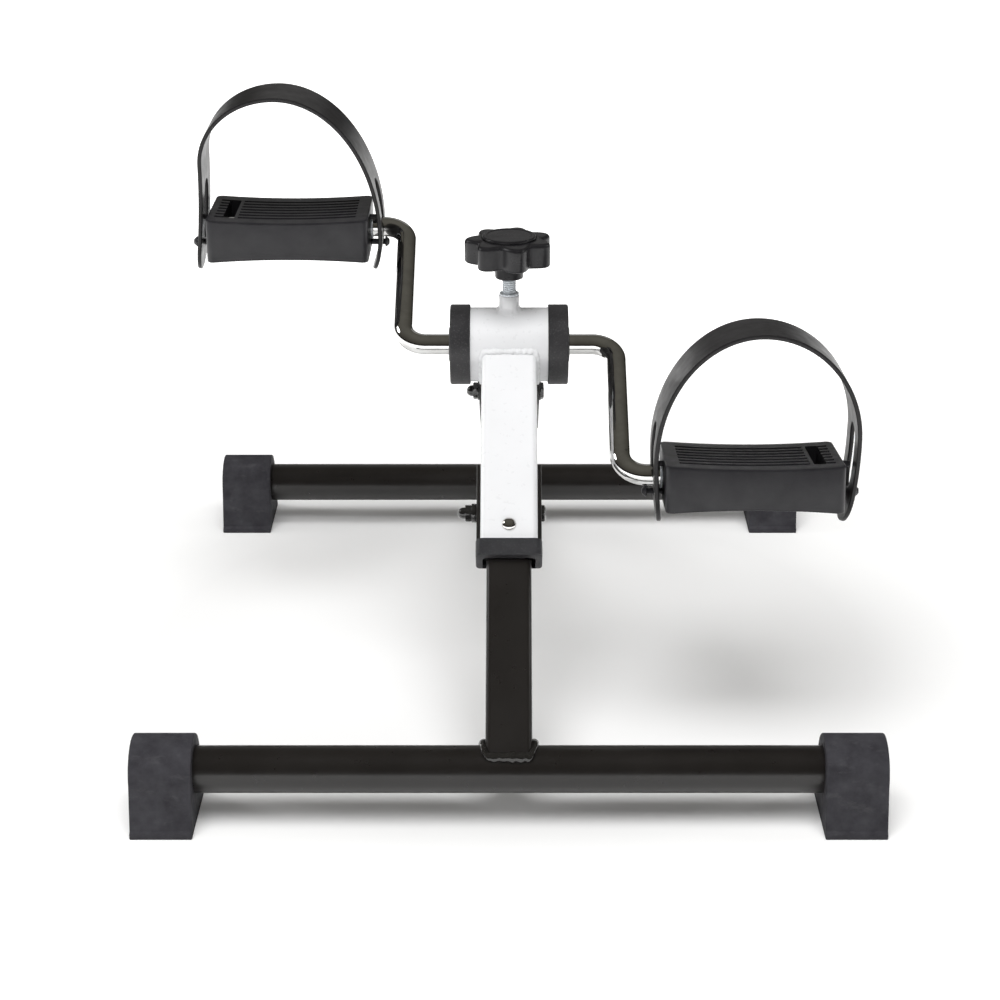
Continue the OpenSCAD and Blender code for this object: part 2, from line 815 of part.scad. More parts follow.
stem();
hub_barrel();
hub_boss();
pivot_lugs();
hub_cap_left();
hub_cap_right();
hub_bushing_left();
hub_bushing_right();
leg_bracket();
leg_collar();
front_leg();
front_weld();
front_crossbar();
foot_front_left();
foot_front_right();
pivot_bolt();
pivot_acorn_nut();
pivot_washers();
bracket_bolt();
bracket_acorn_nut();
bracket_spacer();
snap_spring();
snap_button();
rear_leg();
rear_leg_bracket();
rear_weld();
rear_crossbar();
foot_rear_left();
foot_rear_right();
crank();
axle_retainers_left();
axle_retainers_right();
pedal_left();
pedal_right();
strap_left();
strap_right();
brake_shoe();
tension_stud();
knob_body();
knob_cap();
stud_washer();
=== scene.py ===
"""Looks of the folding pedal exerciser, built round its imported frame.

Metres, +Z up, -Y towards the viewer. Places come from the frame's own boxes and joints, and the few
sizes that a box doesn't give repeat the CAD model's.
"""

import json
import math

import bmesh
import bpy
from mathutils import Matrix, Vector, noise
from mathutils.geometry import tessellate_polygon


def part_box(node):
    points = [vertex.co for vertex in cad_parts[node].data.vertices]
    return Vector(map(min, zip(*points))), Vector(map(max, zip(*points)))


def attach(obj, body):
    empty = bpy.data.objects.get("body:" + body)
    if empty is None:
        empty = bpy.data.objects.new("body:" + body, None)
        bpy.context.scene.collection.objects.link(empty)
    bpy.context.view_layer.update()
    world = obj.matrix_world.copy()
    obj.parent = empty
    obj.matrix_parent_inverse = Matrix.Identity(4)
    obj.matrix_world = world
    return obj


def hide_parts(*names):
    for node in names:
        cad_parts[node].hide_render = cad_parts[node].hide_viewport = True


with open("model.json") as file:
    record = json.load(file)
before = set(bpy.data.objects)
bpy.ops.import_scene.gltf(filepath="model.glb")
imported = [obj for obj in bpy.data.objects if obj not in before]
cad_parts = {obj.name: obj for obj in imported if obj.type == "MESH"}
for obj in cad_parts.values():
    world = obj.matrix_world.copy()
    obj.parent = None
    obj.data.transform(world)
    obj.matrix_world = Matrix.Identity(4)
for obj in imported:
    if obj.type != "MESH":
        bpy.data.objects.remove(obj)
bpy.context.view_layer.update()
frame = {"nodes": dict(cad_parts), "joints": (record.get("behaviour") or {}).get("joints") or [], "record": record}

MM = 0.001
TURN = 2 * math.pi
LEFT = -1
RIGHT = 1
RECORD = frame["record"]
JOINTS = {joint["name"]: joint for joint in frame["joints"]}
BODY_OF = {node: body for body, nodes in RECORD["behaviour"]["bodies"].items() for node in nodes}


# ---- Places, read from the frame ----

def middle(node):
    low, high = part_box(node)
    return (low + high) / 2


def size(node):
    low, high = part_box(node)
    return high - low


HUB = middle("hub_barrel")
HUB_R = size("hub_barrel").z / 2
HUB_END = size("hub_barrel").x / 2
CAP_R = size("hub_cap_left").z / 2
CAP_L = size("hub_cap_left").x
CAP_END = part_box("hub_cap_right")[1].x
BUSHING_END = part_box("hub_bushing_right")[1].x
BUSHING_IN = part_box("hub_bushing_right")[0].x
FRONT_BAR = middle("front_crossbar")
REAR_BAR = middle("rear_crossbar")
BAR_R = size("front_crossbar").z / 2
BAR_END = size("front_crossbar").x / 2
PIVOT = Vector(JOINTS["rear_leg_fold"]["pos_m"])
LEG_W = size("front_leg").x
STEM_W = size("stem").x
ROD_R = size("crank").y / 2 - abs(Vector(JOINTS["left_pedal_spin"]["pos_m"]).y)
CRANK_END = size("crank").x / 2

STEM_TILT = math.atan2(HUB.z - FRONT_BAR.z, -FRONT_BAR.y)
STEM_LEN = (HUB - FRONT_BAR).length
REAR_TILT = math.atan2(PIVOT.z - REAR_BAR.z, REAR_BAR.y - PIVOT.y)
REAR_LEN = (PIVOT - REAR_BAR).length

# Frames: on a leg, z runs down the leg; on the stem, y is its front normal
ON_HUB = Matrix.Translation(HUB)
ON_STEM = ON_HUB @ Matrix.Rotation(math.pi / 2 + STEM_TILT, 4, "X")
ON_REAR_LEG = Matrix.Translation(PIVOT) @ Matrix.Rotation(-math.pi / 2 - REAR_TILT, 4, "X")
UP_TO_X = Matrix.Rotation(math.pi / 2, 4, "Y")           # turns local z to +X
YZ_SHAPE = Matrix(((0, 0, 1, 0), (1, 0, 0, 0), (0, 1, 0, 0), (0, 0, 0, 1)))
MIRROR_X = Matrix.Diagonal((-1, 1, 1, 1))

# How far down the stem things lie, from the barrel's axis
BRACKET_TOP = 85 * MM
BOLT_T = 112 * MM
BUTTON_T = 127.1 * MM
STEM_END = 136.5 * MM

TUBE_CORNER = 3 * MM
COLLAR_L = 10.5 * MM
COLLAR_W = 37 * MM
BRACKET_WALL = 2.3 * MM
RUNNING_GAP = 0.05 * MM
PEDAL_TILT = math.radians(7.5)


def side_place(side):
    return Matrix.Identity(4) if side == RIGHT else MIRROR_X


def pedal_frame(side):
    """A pedal's own frame: x outwards from its middle, y back, z up."""
    joint = JOINTS["right_pedal_spin" if side == RIGHT else "left_pedal_spin"]
    tilt = -PEDAL_TILT if side == RIGHT else 0
    place = Matrix.Translation(joint["pos_m"]) @ Matrix.Rotation(tilt, 4, "X")
    return place @ side_place(side)


# ---- Mesh tools ----

def build(name, verts, faces, place=Matrix.Identity(4)):
    mesh = bpy.data.meshes.new(name)
    mesh.from_pydata([place @ Vector(v) for v in verts], [], faces)
    made = bpy.data.objects.new(name, mesh)
    bpy.context.scene.collection.objects.link(made)
    return made


def clean(piece, angle=35):
    """Merges doubled points, turns faces outwards and smooths all but the sharp edges."""
    mesh = bmesh.new()
    mesh.from_mesh(piece.data)
    bmesh.ops.remove_doubles(mesh, verts=mesh.verts, dist=2e-6)
    bmesh.ops.dissolve_degenerate(mesh, edges=mesh.edges, dist=1e-6)
    bmesh.ops.recalc_face_normals(mesh, faces=mesh.faces)
    mesh.to_mesh(piece.data)
    mesh.free()
    piece.data.shade_smooth()
    piece.data.set_sharp_from_angle(angle=math.radians(angle))
    return piece


def skin(name, rings, place=Matrix.Identity(4), loop=False):
    """Joins rings of points, all of one length, into a tube with closed ends, or into a loop."""
    n = len(rings[0])
    verts = [point for ring in rings for point in ring]
    faces = []
    for k in range(len(rings) if loop else len(rings) - 1):
        a = k * n
        b = (k + 1) % len(rings) * n
        faces += [(a + i, a + (i + 1) % n, b + (i + 1) % n, b + i) for i in range(n)]
    if not loop:
        faces += [tuple(range(n)), tuple(range(len(verts) - n, len(verts)))]
    return build(name, verts, faces, place)


def quarter(steps):
    """The angles from 0 to a right angle, in equal steps."""
    return [math.pi / 2 * k / steps for k in range(steps + 1)]


def distances(points):
    """How far along a line each of its points lies."""
    reach = [0.0]
    for a, b in zip(points, points[1:]):
        reach.append(reach[-1] + (b - a).length)
    return reach


def lathe(name, outline, place, steps=96):
    """Turns a closed outline of (radius, height) points round local z."""
    def ring(k):
        c, s = math.cos(TURN * k / steps), math.sin(TURN * k / steps)
        return [(r * c, r * s, z) for r, z in outline]
    return skin(name, [ring(k) for k in range(steps)], place, loop=True)


def fillet(points, radii, steps=6):
    """A closed outline with rounded corners. radii is one radius, or one for each corner."""
    count = len(points)
    radii = radii if hasattr(radii, "__len__") else [radii] * count
    rounded = []
    for k in range(count):
        corner = Vector(points[k])
        back = Vector(points[k - 1]) - corner
        ahead = Vector(points[(k + 1) % count]) - corner
        half = back.angle(ahead) / 2
        if radii[k] <= 0 or half > math.pi / 2 - 0.01:
            rounded.append(corner)
            continue
        reach = min(radii[k] / math.tan(half), 0.499 * back.length, 0.499 * ahead.length)
        radius = reach * math.tan(half)
        centre = corner + (back.normalized() + ahead.normalized()).normalized() * (radius / math.sin(half))
        start = corner + back.normalized() * reach - centre
        stop = corner + ahead.normalized() * reach - centre
        first = math.atan2(start.y, start.x)
        swing = (math.atan2(stop.y, stop.x) - first + math.pi) % TURN - math.pi
        for i in range(steps + 1):
            a = first + swing * i / steps
            rounded.append(centre + radius * Vector((math.cos(a), math.sin(a))))
    return rounded


def inset(outline, depth):
    """A closed outline moved to its left by depth, which is inwards if it runs counter-clockwise."""
    moved = []
    for k, point in enumerate(outline):
        before = (point - outline[k - 1]).normalized()
        after = (outline[(k + 1) % len(outline)] - point).normalized()
        a = Vector((-before.y, before.x))
        b = Vector((-after.y, after.x))
        moved.append(point + (a + b) * (depth / max(0.4, 1 + a.dot(b))))
    return moved


def rounded_rect(width, depth, radius, steps=8):
    w, d = width / 2, depth / 2
    return fillet([(-w, -d), (w, -d), (w, d), (-w, d)], radius, steps)


def circle(x, y, radius, steps=24):
    return [Vector((x + radius * math.cos(TURN * k / steps), y + radius * math.sin(TURN * k / steps)))
            for k in range(steps)]


def prism(name, outline, z0, z1, place=Matrix.Identity(4), bevel=0.0, holes=(), steps=3):
    """Extrudes a counter-clockwise outline with clockwise holes, with rounded end edges."""
    arc = quarter(steps) if bevel else [math.pi / 2]
    lower = [(bevel * (1 - math.sin(a)), z0 + bevel * (1 - math.cos(a))) for a in arc]
    upper = [(d, z0 + z1 - z) for d, z in reversed(lower)]
    levels = lower + upper if bevel else [(0, z0), (0, z1)]
    verts, faces, ends = [], [], ([], [])
    for loop in [outline, *holes]:
        n = len(loop)
        for k, (depth, z) in enumerate(levels):
            base = len(verts)
            verts += [(p.x, p.y, z) for p in (inset(loop, depth) if depth else loop)]
            if k:
                faces += [(base - n + i, base - n + (i + 1) % n, base + (i + 1) % n, base + i)
                          for i in range(n)]
            if k in (0, len(levels) - 1):
                ends[k > 0].append(list(range(base, base + n)))
    for loops in ends:
        if len(loops) == 1:
            faces.append(tuple(loops[0]))
            continue
        order = [i for loop in loops for i in loop]
        triangles = tessellate_polygon([[Vector(verts[i]) for i in loop] for loop in loops])
        faces += [tuple(order[i] for i in triangle) for triangle in triangles]
    return build(name, verts, faces, place)


def combine(piece, others, operation="DIFFERENCE"):
    """Cuts other solids out of a piece, or unites them with it, for good."""
    for other in others:
        step = piece.modifiers.new("combine", "BOOLEAN")
        step.operation = operation
        step.solver = "EXACT"
        step.object = other
    graph = bpy.context.evaluated_depsgraph_get()
    piece.data = bpy.data.meshes.new_from_object(piece.evaluated_get(graph))
    piece.modifiers.clear()
    for other in others:
        bpy.data.objects.remove(other)
    return piece


def join(piece, *others):
    """Puts several solids in one piece, as they are."""
    mesh = bmesh.new()
    for part in (piece, *others):
        mesh.from_mesh(part.data)
    mesh.to_mesh(piece.data)
    mesh.free()
    for part in others:
        bpy.data.objects.remove(part)
    return piece


def slice_along(piece, axis, places):
    """Cuts every face across the axis at the given places, so that the piece can bend."""
    mesh = bmesh.new()
    mesh.from_mesh(piece.data)
    normal = Vector((axis == 0, axis == 1, axis == 2))
    for place in places:
        geometry = mesh.verts[:] + mesh.edges[:] + mesh.faces[:]
        bmesh.ops.bisect_plane(mesh, geom=geometry, dist=1e-7, plane_co=normal * place, plane_no=normal)
    mesh.to_mesh(piece.data)
    mesh.free()
    return piece


def reshape(piece, move):
    for vertex in piece.data.vertices:
        vertex.co = move(vertex.co)
    return piece


def hexagon(radius, limit, z, steps=72):
    """A ring of a hexagon whose corners are turned down to the limit radius."""
    ring = []
    for k in range(steps):
        a = TURN * k / steps
        flat = radius * math.cos(math.pi / 6) / math.cos((a % (TURN / 6)) - math.pi / 6)
        r = min(flat, limit)
        ring.append((r * math.cos(a), r * math.sin(a), z))
    return ring


def round_ring(radius, z, steps=72):
    return [(radius * math.cos(TURN * k / steps), radius * math.sin(TURN * k / steps), z)
            for k in range(steps)]


# ---- Materials ----

class Finish:
    """A procedural material: a colour that varies, a roughness that varies, and layers of relief."""

    def __init__(self, name, **fixed):
        self.material = bpy.data.materials.new(name)
        self.material.use_nodes = True
        self.tree = self.material.node_tree
        self.shader = self.tree.nodes["Principled BSDF"]
        for socket, value in fixed.items():
            self.shader.inputs[socket.replace("_", " ")].default_value = value
        self.place = self.tree.nodes.new("ShaderNodeTexCoord").outputs["Object"]
        self.normal = None

    def node(self, kind, inputs=(), **settings):
        made = self.tree.nodes.new(kind)
        for key, value in settings.items():
            setattr(made, key, value)
        for socket, value in dict(inputs).items():
            if isinstance(value, bpy.types.NodeSocket):
                self.tree.links.new(value, made.inputs[socket])
            else:
                made.inputs[socket].default_value = value
        return made

    def noise(self, grain, detail=3.0, rough=0.55, stretch=(1, 1, 1)):
        """Noise with features about as wide as grain, in metres."""
        place = self.node("ShaderNodeMapping", {"Vector": self.place, "Scale": stretch})
        made = self.node("ShaderNodeTexNoise", {"Vector": place.outputs[0], "Scale": 1 / grain,
                                                "Detail": detail, "Roughness": rough})
        return made.outputs["Fac"]

    def cells(self, grain):
        """Rounded cells about as wide as grain, in metres."""
        made = self.node("ShaderNodeTexVoronoi", {"Vector": self.place, "Scale": 1 / grain})
        return made.outputs["Distance"]

    def spread(self, value, low, high, start=0.0, stop=1.0):
        made = self.node("ShaderNodeMapRange", {"Value": value, "From Min": low, "From Max": high,
                                                "To Min": start, "To Max": stop})
        return made.outputs["Result"]

    def mix(self, share, first, second):
        made = self.node("ShaderNodeMix", {"Factor": share, 6: first, 7: second}, data_type="RGBA")
        return made.outputs[2]

    def colour(self, value):
        self.tree.links.new(value, self.shader.inputs["Base Color"])

    def roughness(self, value):
        self.tree.links.new(value, self.shader.inputs["Roughness"])

    def relief(self, height, depth):
        """Adds a layer of relief, depth metres high."""
        inputs = {"Height": height, "Strength": 1.0, "Distance": depth}
        if self.normal is not None:
            inputs["Normal"] = self.normal
        self.normal = self.node("ShaderNodeBump", inputs).outputs["Normal"]
        self.tree.links.new(self.normal, self.shader.inputs["Normal"])


def tint(r, g, b, share=1.0):
    return (r * share, g * share, b * share, 1)


def white_enamel():
    made = Finish("white_enamel", Coat_Weight=0.5, Coat_Roughness=0.12, IOR=1.5)
    cloud = made.spread(made.noise(26 * MM, 2), 0.3, 0.7)
    made.colour(made.mix(cloud, tint(0.725, 0.73, 0.745), tint(0.75, 0.755, 0.77)))
    made.roughness(made.spread(made.noise(3 * MM, 3), 0.3, 0.7, 0.26, 0.36))
    made.relief(made.noise(1.6 * MM, 2), 0.018 * MM)
    made.relief(made.noise(0.5 * MM, 2), 0.006 * MM)
    return made.material


def black_enamel():
    made = Finish("black_enamel", Coat_Weight=0.25, Coat_Roughness=0.2, IOR=1.5)
    cloud = made.spread(made.noise(30 * MM, 3), 0.3, 0.7)
    made.colour(made.mix(cloud, tint(0.0088, 0.0074, 0.0068), tint(0.0122, 0.0106, 0.0100)))
    made.roughness(made.spread(made.noise(5 * MM, 4), 0.3, 0.7, 0.27, 0.37))
    made.relief(made.noise(1.3 * MM, 2), 0.012 * MM)
    made.relief(made.noise(0.4 * MM, 2), 0.005 * MM)
    return made.material


def weld_black():
    made = Finish("weld_black", Coat_Weight=0.8, Coat_Roughness=0.08, IOR=1.5)
    made.colour(made.mix(made.noise(3 * MM), tint(0.008, 0.0075, 0.007), tint(0.016, 0.015, 0.014)))
    made.roughness(made.spread(made.noise(2 * MM), 0.3, 0.7, 0.16, 0.28))
    made.relief(made.noise(2.5 * MM, 3), 0.25 * MM)
    return made.material


def foot_rubber():
    made = Finish("foot_rubber", IOR=1.45, Specular_IOR_Level=0.25)
    patches = made.spread(made.noise(11 * MM, 4, 0.6), 0.32, 0.68)
    body = made.mix(patches, tint(0.030, 0.029, 0.034), tint(0.052, 0.051, 0.058))
    streaks = made.spread(made.noise(7 * MM, 5, 0.7, (0.5, 1.4, 1)), 0.56, 0.74, 0, 0.35)
    made.colour(made.mix(streaks, body, tint(0.105, 0.103, 0.108)))
    made.roughness(made.spread(made.noise(4 * MM, 4), 0.3, 0.7, 0.62, 0.8))
    made.relief(made.noise(0.7 * MM, 4), 0.05 * MM)
    made.relief(made.cells(0.9 * MM), 0.02 * MM)
    return made.material


def moulded(name, dark, light, rough, grain, depth, speckle=0.0, gloss=0.5):
    """A moulded plastic with a fine spark-eroded grain."""
    made = Finish(name, IOR=1.49, Specular_IOR_Level=gloss)
    body = made.mix(made.spread(made.noise(14 * MM, 3), 0.3, 0.7), tint(*dark), tint(*light))
    if speckle:
        spots = made.spread(made.noise(0.9 * MM, 2), 0.55, 0.75, 0, speckle)
        body = made.mix(spots, body, tint(0.13, 0.128, 0.13))
    made.colour(body)
    made.roughness(made.spread(made.noise(6 * MM, 4), 0.3, 0.7, rough - 0.05, rough + 0.06))
    made.relief(made.noise(grain, 3), depth)
    made.relief(made.cells(grain * 1.6), depth * 0.5)
    return made.material


def strap_plastic():
    made = Finish("strap_plastic", IOR=1.49, Specular_IOR_Level=0.3)
    cloud = made.spread(made.noise(18 * MM, 3), 0.3, 0.7)
    made.colour(made.mix(cloud, tint(0.012, 0.0115, 0.012), tint(0.019, 0.018, 0.019)))
    made.roughness(made.spread(made.noise(8 * MM, 4), 0.3, 0.7, 0.30, 0.40))
    made.relief(made.noise(0.6 * MM, 3, 0.6), 0.02 * MM)
    made.relief(made.noise(6 * MM, 2, 0.5, (1, 0.2, 1)), 0.05 * MM)
    return made.material


def metal(name, colour, rough, grain, depth, scratches=0.0, bare=1.0):
    """A bright metal with faint grain and, for plating, fine polishing lines."""
    made = Finish(name, Metallic=bare)
    dull = tint(*colour, 0.86)
    made.colour(made.mix(made.spread(made.noise(9 * MM, 4), 0.35, 0.65), dull, tint(*colour)))
    made.roughness(made.spread(made.noise(4 * MM, 5), 0.3, 0.7, rough * 0.8, rough * 1.3))
    made.relief(made.noise(grain, 3), depth)
    if scratches:
        made.relief(made.noise(1.2 * MM, 4, 0.7, (1, 9, 9)), scratches)
    return made.material


def black_hardware():
    made = Finish("black_hardware", Coat_Weight=1.0, Coat_Roughness=0.06, IOR=1.5)
    made.colour(made.mix(made.noise(2 * MM), tint(0.006, 0.0058, 0.0055), tint(0.014, 0.0135, 0.013)))
    made.roughness(made.spread(made.noise(1.5 * MM), 0.3, 0.7, 0.14, 0.24))
    made.relief(made.noise(0.9 * MM, 2), 0.02 * MM)
    return made.material


def brake_pad():
    made = Finish("brake_pad", IOR=1.45, Specular_IOR_Level=0.3)
    fibres = made.noise(1.1 * MM, 5, 0.7, (1, 4, 1))
    made.colour(made.mix(fibres, tint(0.10, 0.065, 0.04), tint(0.26, 0.19, 0.13)))
    made.roughness(made.spread(fibres, 0.3, 0.7, 0.8, 0.95))
    made.relief(fibres, 0.08 * MM)
    return made.material


MATERIALS = {
    "white_enamel": white_enamel(),
    "black_enamel": black_enamel(),
    "weld_black": weld_black(),
    "foot_rubber": foot_rubber(),
    "cap_plastic": moulded("cap_plastic", (0.020, 0.0195, 0.021), (0.030, 0.029, 0.031),
                           0.50, 0.55 * MM, 0.05 * MM, speckle=0.35),
    "collar_plastic": moulded("collar_plastic", (0.019, 0.019, 0.021), (0.029, 0.029, 0.032),
                              0.46, 0.5 * MM, 0.03 * MM, speckle=0.2),
    "bushing_nylon": moulded("bushing_nylon", (0.025, 0.025, 0.026), (0.034, 0.034, 0.035),
                             0.40, 0.6 * MM, 0.01 * MM),
    "black_hardware": black_hardware(),
    "spring_steel": metal("spring_steel", (0.42, 0.43, 0.45), 0.28, 0.6 * MM, 0.006 * MM, 0.006 * MM),
    "button_steel": metal("button_steel", (0.80, 0.78, 0.76), 0.10, 0.8 * MM, 0.002 * MM),
    "chrome_rod": metal("chrome_rod", (0.80, 0.80, 0.79), 0.055, 1.5 * MM, 0.0012 * MM, 0.001 * MM),
    "pedal_plastic": moulded("pedal_plastic", (0.013, 0.0125, 0.015), (0.020, 0.0195, 0.022),
                             0.36, 0.6 * MM, 0.05 * MM, gloss=0.4),
    "strap_plastic": strap_plastic(),
    "brake_pad": brake_pad(),
    "zinc": metal("zinc", (0.76, 0.80, 0.84), 0.26, 0.7 * MM, 0.012 * MM, 0.01 * MM, bare=0.2),
    "knob_plastic": moulded("knob_plastic", (0.010, 0.0095, 0.011), (0.015, 0.0145, 0.016),
                            0.30, 0.7 * MM, 0.03 * MM, gloss=0.35),
}


def place_piece(piece, node, slot, body=None, angle=35):
    """Finishes a piece: it stands for the CAD node, rides on its body and has its slot's material."""
    clean(piece, angle)
    piece.data.materials.clear()
    piece.data.materials.append(MATERIALS[slot])
    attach(piece, body or BODY_OF[node])
    if node:
        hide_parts(node)


def cover(node, slot):
    """Gives a CAD node that stays its slot's material."""
    mesh = frame["nodes"][node].data
    mesh.materials.clear()
    mesh.materials.append(MATERIALS[slot])


# ---- Base ----

FOOT_TOOTH = 4.4 * MM
FOOT_TOOTH_DEPTH = 1.3 * MM
FOOT_LIP = 3 * MM
FOOT_EDGE = 1.4 * MM
FOOT_TOP_R = 19.2 * MM


def crossbar(node):
    wall = 1.5 * MM
    inner = BAR_R - wall
    outline = fillet([(inner, -BAR_END), (BAR_R, -BAR_END), (BAR_R, BAR_END), (inner, BAR_END)], 0.4 * MM)
    tube = lathe(node + "_tube", outline, Matrix.Translation(middle(node)) @ UP_TO_X, 128)
    place_piece(tube, node, "black_enamel")


def foot_outline(half, height):
    """The foot's outline in (y, z): a toothed sole, an upright lip and a round top."""
    centre = height - FOOT_TOP_R
    teeth = int((2 * half - 2 * FOOT_EDGE) / FOOT_TOOTH)
    start = -teeth * FOOT_TOOTH / 2
    points = [(-half, 0)]
    for k in range(teeth):
        y = start + k * FOOT_TOOTH
        points += [(y + share * FOOT_TOOTH, z) for share, z in
                   ((0.2, 0), (0.38, FOOT_TOOTH_DEPTH), (0.62, FOOT_TOOTH_DEPTH), (0.8, 0))]
    points += [(half, 0), (half, FOOT_LIP), (half - FOOT_EDGE, FOOT_LIP + FOOT_EDGE)]
    outline = fillet(points + [(FOOT_EDGE - half, FOOT_LIP + FOOT_EDGE), (-half, FOOT_LIP)], 0.25 * MM, 2)
    arc = [Vector((FOOT_TOP_R * math.cos(a), centre + FOOT_TOP_R * math.sin(a)))
           for a in (math.pi * k / 48 for k in range(49))]
    left = next(k for k in range(len(outline) - 1, 0, -1) if outline[k].x > 0) + 1
    return outline[:left] + arc + outline[left:]


def foot(node, side):
    low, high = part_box(node)
    half = (high.y - low.y) / 2
    outline = foot_outline(half, high.z - low.z)
    place = Matrix.Translation((0, (low.y + high.y) / 2, 0)) @ YZ_SHAPE
    body = prism(node + "_rubber", outline, low.x, high.x, place, bevel=0.7 * MM)
    ends = (low.x - MM, BAR_END) if side == RIGHT else (-BAR_END, high.x + MM)
    bar = middle("front_crossbar" if (low.y + high.y) < 0 else "rear_crossbar")
    bore = prism("bore", circle(bar.y, bar.z, BAR_R + 0.02 * MM, 96), *ends, YZ_SHAPE)
    place_piece(combine(body, [bore]), node, "foot_rubber")


def bead(name, outline, height_at, radius, place, ripple, seed):
    """A weld bead laid round an outline, with overlapping lumps."""
    lengths = distances(outline + outline[:1])
    rings = []
    for k, point in enumerate(outline):
        out = Vector((point.x, point.y, 0)).normalized()
        phase = lengths[k] / lengths[-1] * round(lengths[-1] / ripple) * TURN
        lump = 1 + 0.10 * math.sin(phase) + 0.28 * noise.noise(Vector((point.x, point.y, seed)) / (6 * MM))
        centre = Vector((point.x, point.y, height_at(point)))
        rings.append([centre + radius * lump * (out * math.cos(a) + Vector((0, 0, math.sin(a))))
                      for a in (TURN * i / 20 for i in range(20))])
    return skin(name, rings, place, loop=True)


def dense(outline, pitch):
    """The outline with points no further apart than pitch."""
    fine = []
    for k, point in enumerate(outline):
        ahead = outline[(k + 1) % len(outline)]
        parts = max(1, math.ceil((ahead - point).length / pitch))
        fine += [point.lerp(ahead, i / parts) for i in range(parts)]
    return fine


def leg_weld(node, place, length):
    outline = dense(rounded_rect(LEG_W + MM, LEG_W + MM, TUBE_CORNER), 0.5 * MM)

    def height(point):
        return length - math.sqrt(max(0, (BAR_R + 0.4 * MM) ** 2 - point.y ** 2))
    weld = bead(node + "_bead", outline, height, 2.9 * MM, place, 4.6 * MM, 0.3)
    place_piece(weld, node, "weld_black", angle=80)


def base():
    for node in ("front_crossbar", "rear_crossbar"):
        crossbar(node)
    for node, side in (("foot_front_left", LEFT), ("foot_front_right", RIGHT),
                       ("foot_rear_left", LEFT), ("foot_rear_right", RIGHT)):
        foot(node, side)
    leg_weld("front_weld", ON_STEM, STEM_LEN)
    leg_weld("rear_weld", ON_REAR_LEG, REAR_LEN)


# ---- Stem, legs and brackets ----

def stem_weld():
    """The white bead that joins the stem to the barrel."""
    outline = dense(rounded_rect(STEM_W + 0.4 * MM, STEM_W + 0.4 * MM, TUBE_CORNER), 0.5 * MM)

    def height(point):
        return math.sqrt(HUB_R ** 2 - point.y ** 2) + 0.4 * MM
    weld = bead("stem_weld_bead", outline, height, 1.7 * MM, ON_STEM, 3.4 * MM, 1.7)
    place_piece(weld, None, "white_enamel", body="frame", angle=80)


def leg_bracket():
    outer = STEM_W / 2 + BRACKET_WALL
    inner = STEM_W / 2
    front = 8 * MM
    corner = TUBE_CORNER + BRACKET_WALL
    points = [(-outer, front), (-outer, -outer), (outer, -outer), (outer, front),
              (inner, front), (inner, -inner), (-inner, -inner), (-inner, front)]
    radii = [0.6 * MM, corner, corner, 0.6 * MM, 0.6 * MM, TUBE_CORNER, TUBE_CORNER, 0.6 * MM]
    channel = prism("leg_bracket_channel", fillet(points, radii), BRACKET_TOP, STEM_END, ON_STEM,
                    bevel=0.45 * MM)
    place_piece(channel, "leg_bracket", "black_enamel")


def leg_collar():
    """A clip, open at the back, round the end of the stem, and a sleeve that fills the stem."""
    outer, back = COLLAR_W / 2, -0.5 * MM
    inner, front = LEG_W / 2 + 1.1 * MM, LEG_W / 2 + 0.05 * MM
    points = [(-outer, back), (-inner, back), (-inner, front), (inner, front), (inner, back), (outer, back),
              (outer, outer), (-outer, outer)]
    radii = [2.4 * MM, 0.8 * MM, 1.5 * MM, 1.5 * MM, 0.8 * MM, 2.4 * MM, 4 * MM, 4 * MM]
    body = prism("leg_collar_clip", fillet(points, radii), STEM_END, STEM_END + COLLAR_L, ON_STEM,
                 bevel=1.1 * MM, steps=4)
    hole = list(reversed(rounded_rect(2 * front, 2 * front, TUBE_CORNER)))
    inside = STEM_W - 4 * MM
    sleeve = prism("leg_collar_sleeve", rounded_rect(inside, inside, 2 * MM), STEM_END - 5 * MM,
                   STEM_END, ON_STEM, holes=[hole])
    place_piece(join(body, sleeve), "leg_collar", "collar_plastic")


def rear_leg_bracket():
    ear_r = 9 * MM
    ear_t = 1.6 * MM
    ear_l = 63 * MM
    x0 = STEM_W / 2 + 0.2 * MM
    top = -LEG_W / 2
    arc = [Vector((-ear_r * math.cos(a), -ear_r * math.sin(a)))
           for a in (math.pi * k / 24 for k in range(25))]
    corners = fillet([(ear_r, ear_l), (top - ear_t, ear_l), (top - ear_t, 0), (-ear_r, 0)],
                     [4 * MM, MM, 2 * MM, 0])
    outline = arc + corners[:-1]
    ears = [prism("ear", outline, x0, x0 + ear_t, ON_REAR_LEG @ side_place(side) @ YZ_SHAPE, bevel=0.3 * MM)
            for side in (RIGHT, LEFT)]
    plate = fillet([(top - ear_t, 2 * MM), (top, 2 * MM), (top, ear_l), (top - ear_t, ear_l)], 0.3 * MM, 2)
    web = prism("rear_leg_bracket_channel", plate, -x0 - 0.5 * MM, x0 + 0.5 * MM, ON_REAR_LEG @ YZ_SHAPE)
    place_piece(join(web, *ears), "rear_leg_bracket", "black_enamel")


def stem_and_legs():
    for node, slot in (("stem", "white_enamel"), ("pivot_lugs", "white_enamel"),
                       ("front_leg", "black_enamel"), ("rear_leg", "black_enamel"),
                       ("snap_spring", "spring_steel"), ("brake_shoe", "brake_pad")):
        cover(node, slot)
    stem_weld()
    leg_bracket()
    leg_collar()
    rear_leg_bracket()


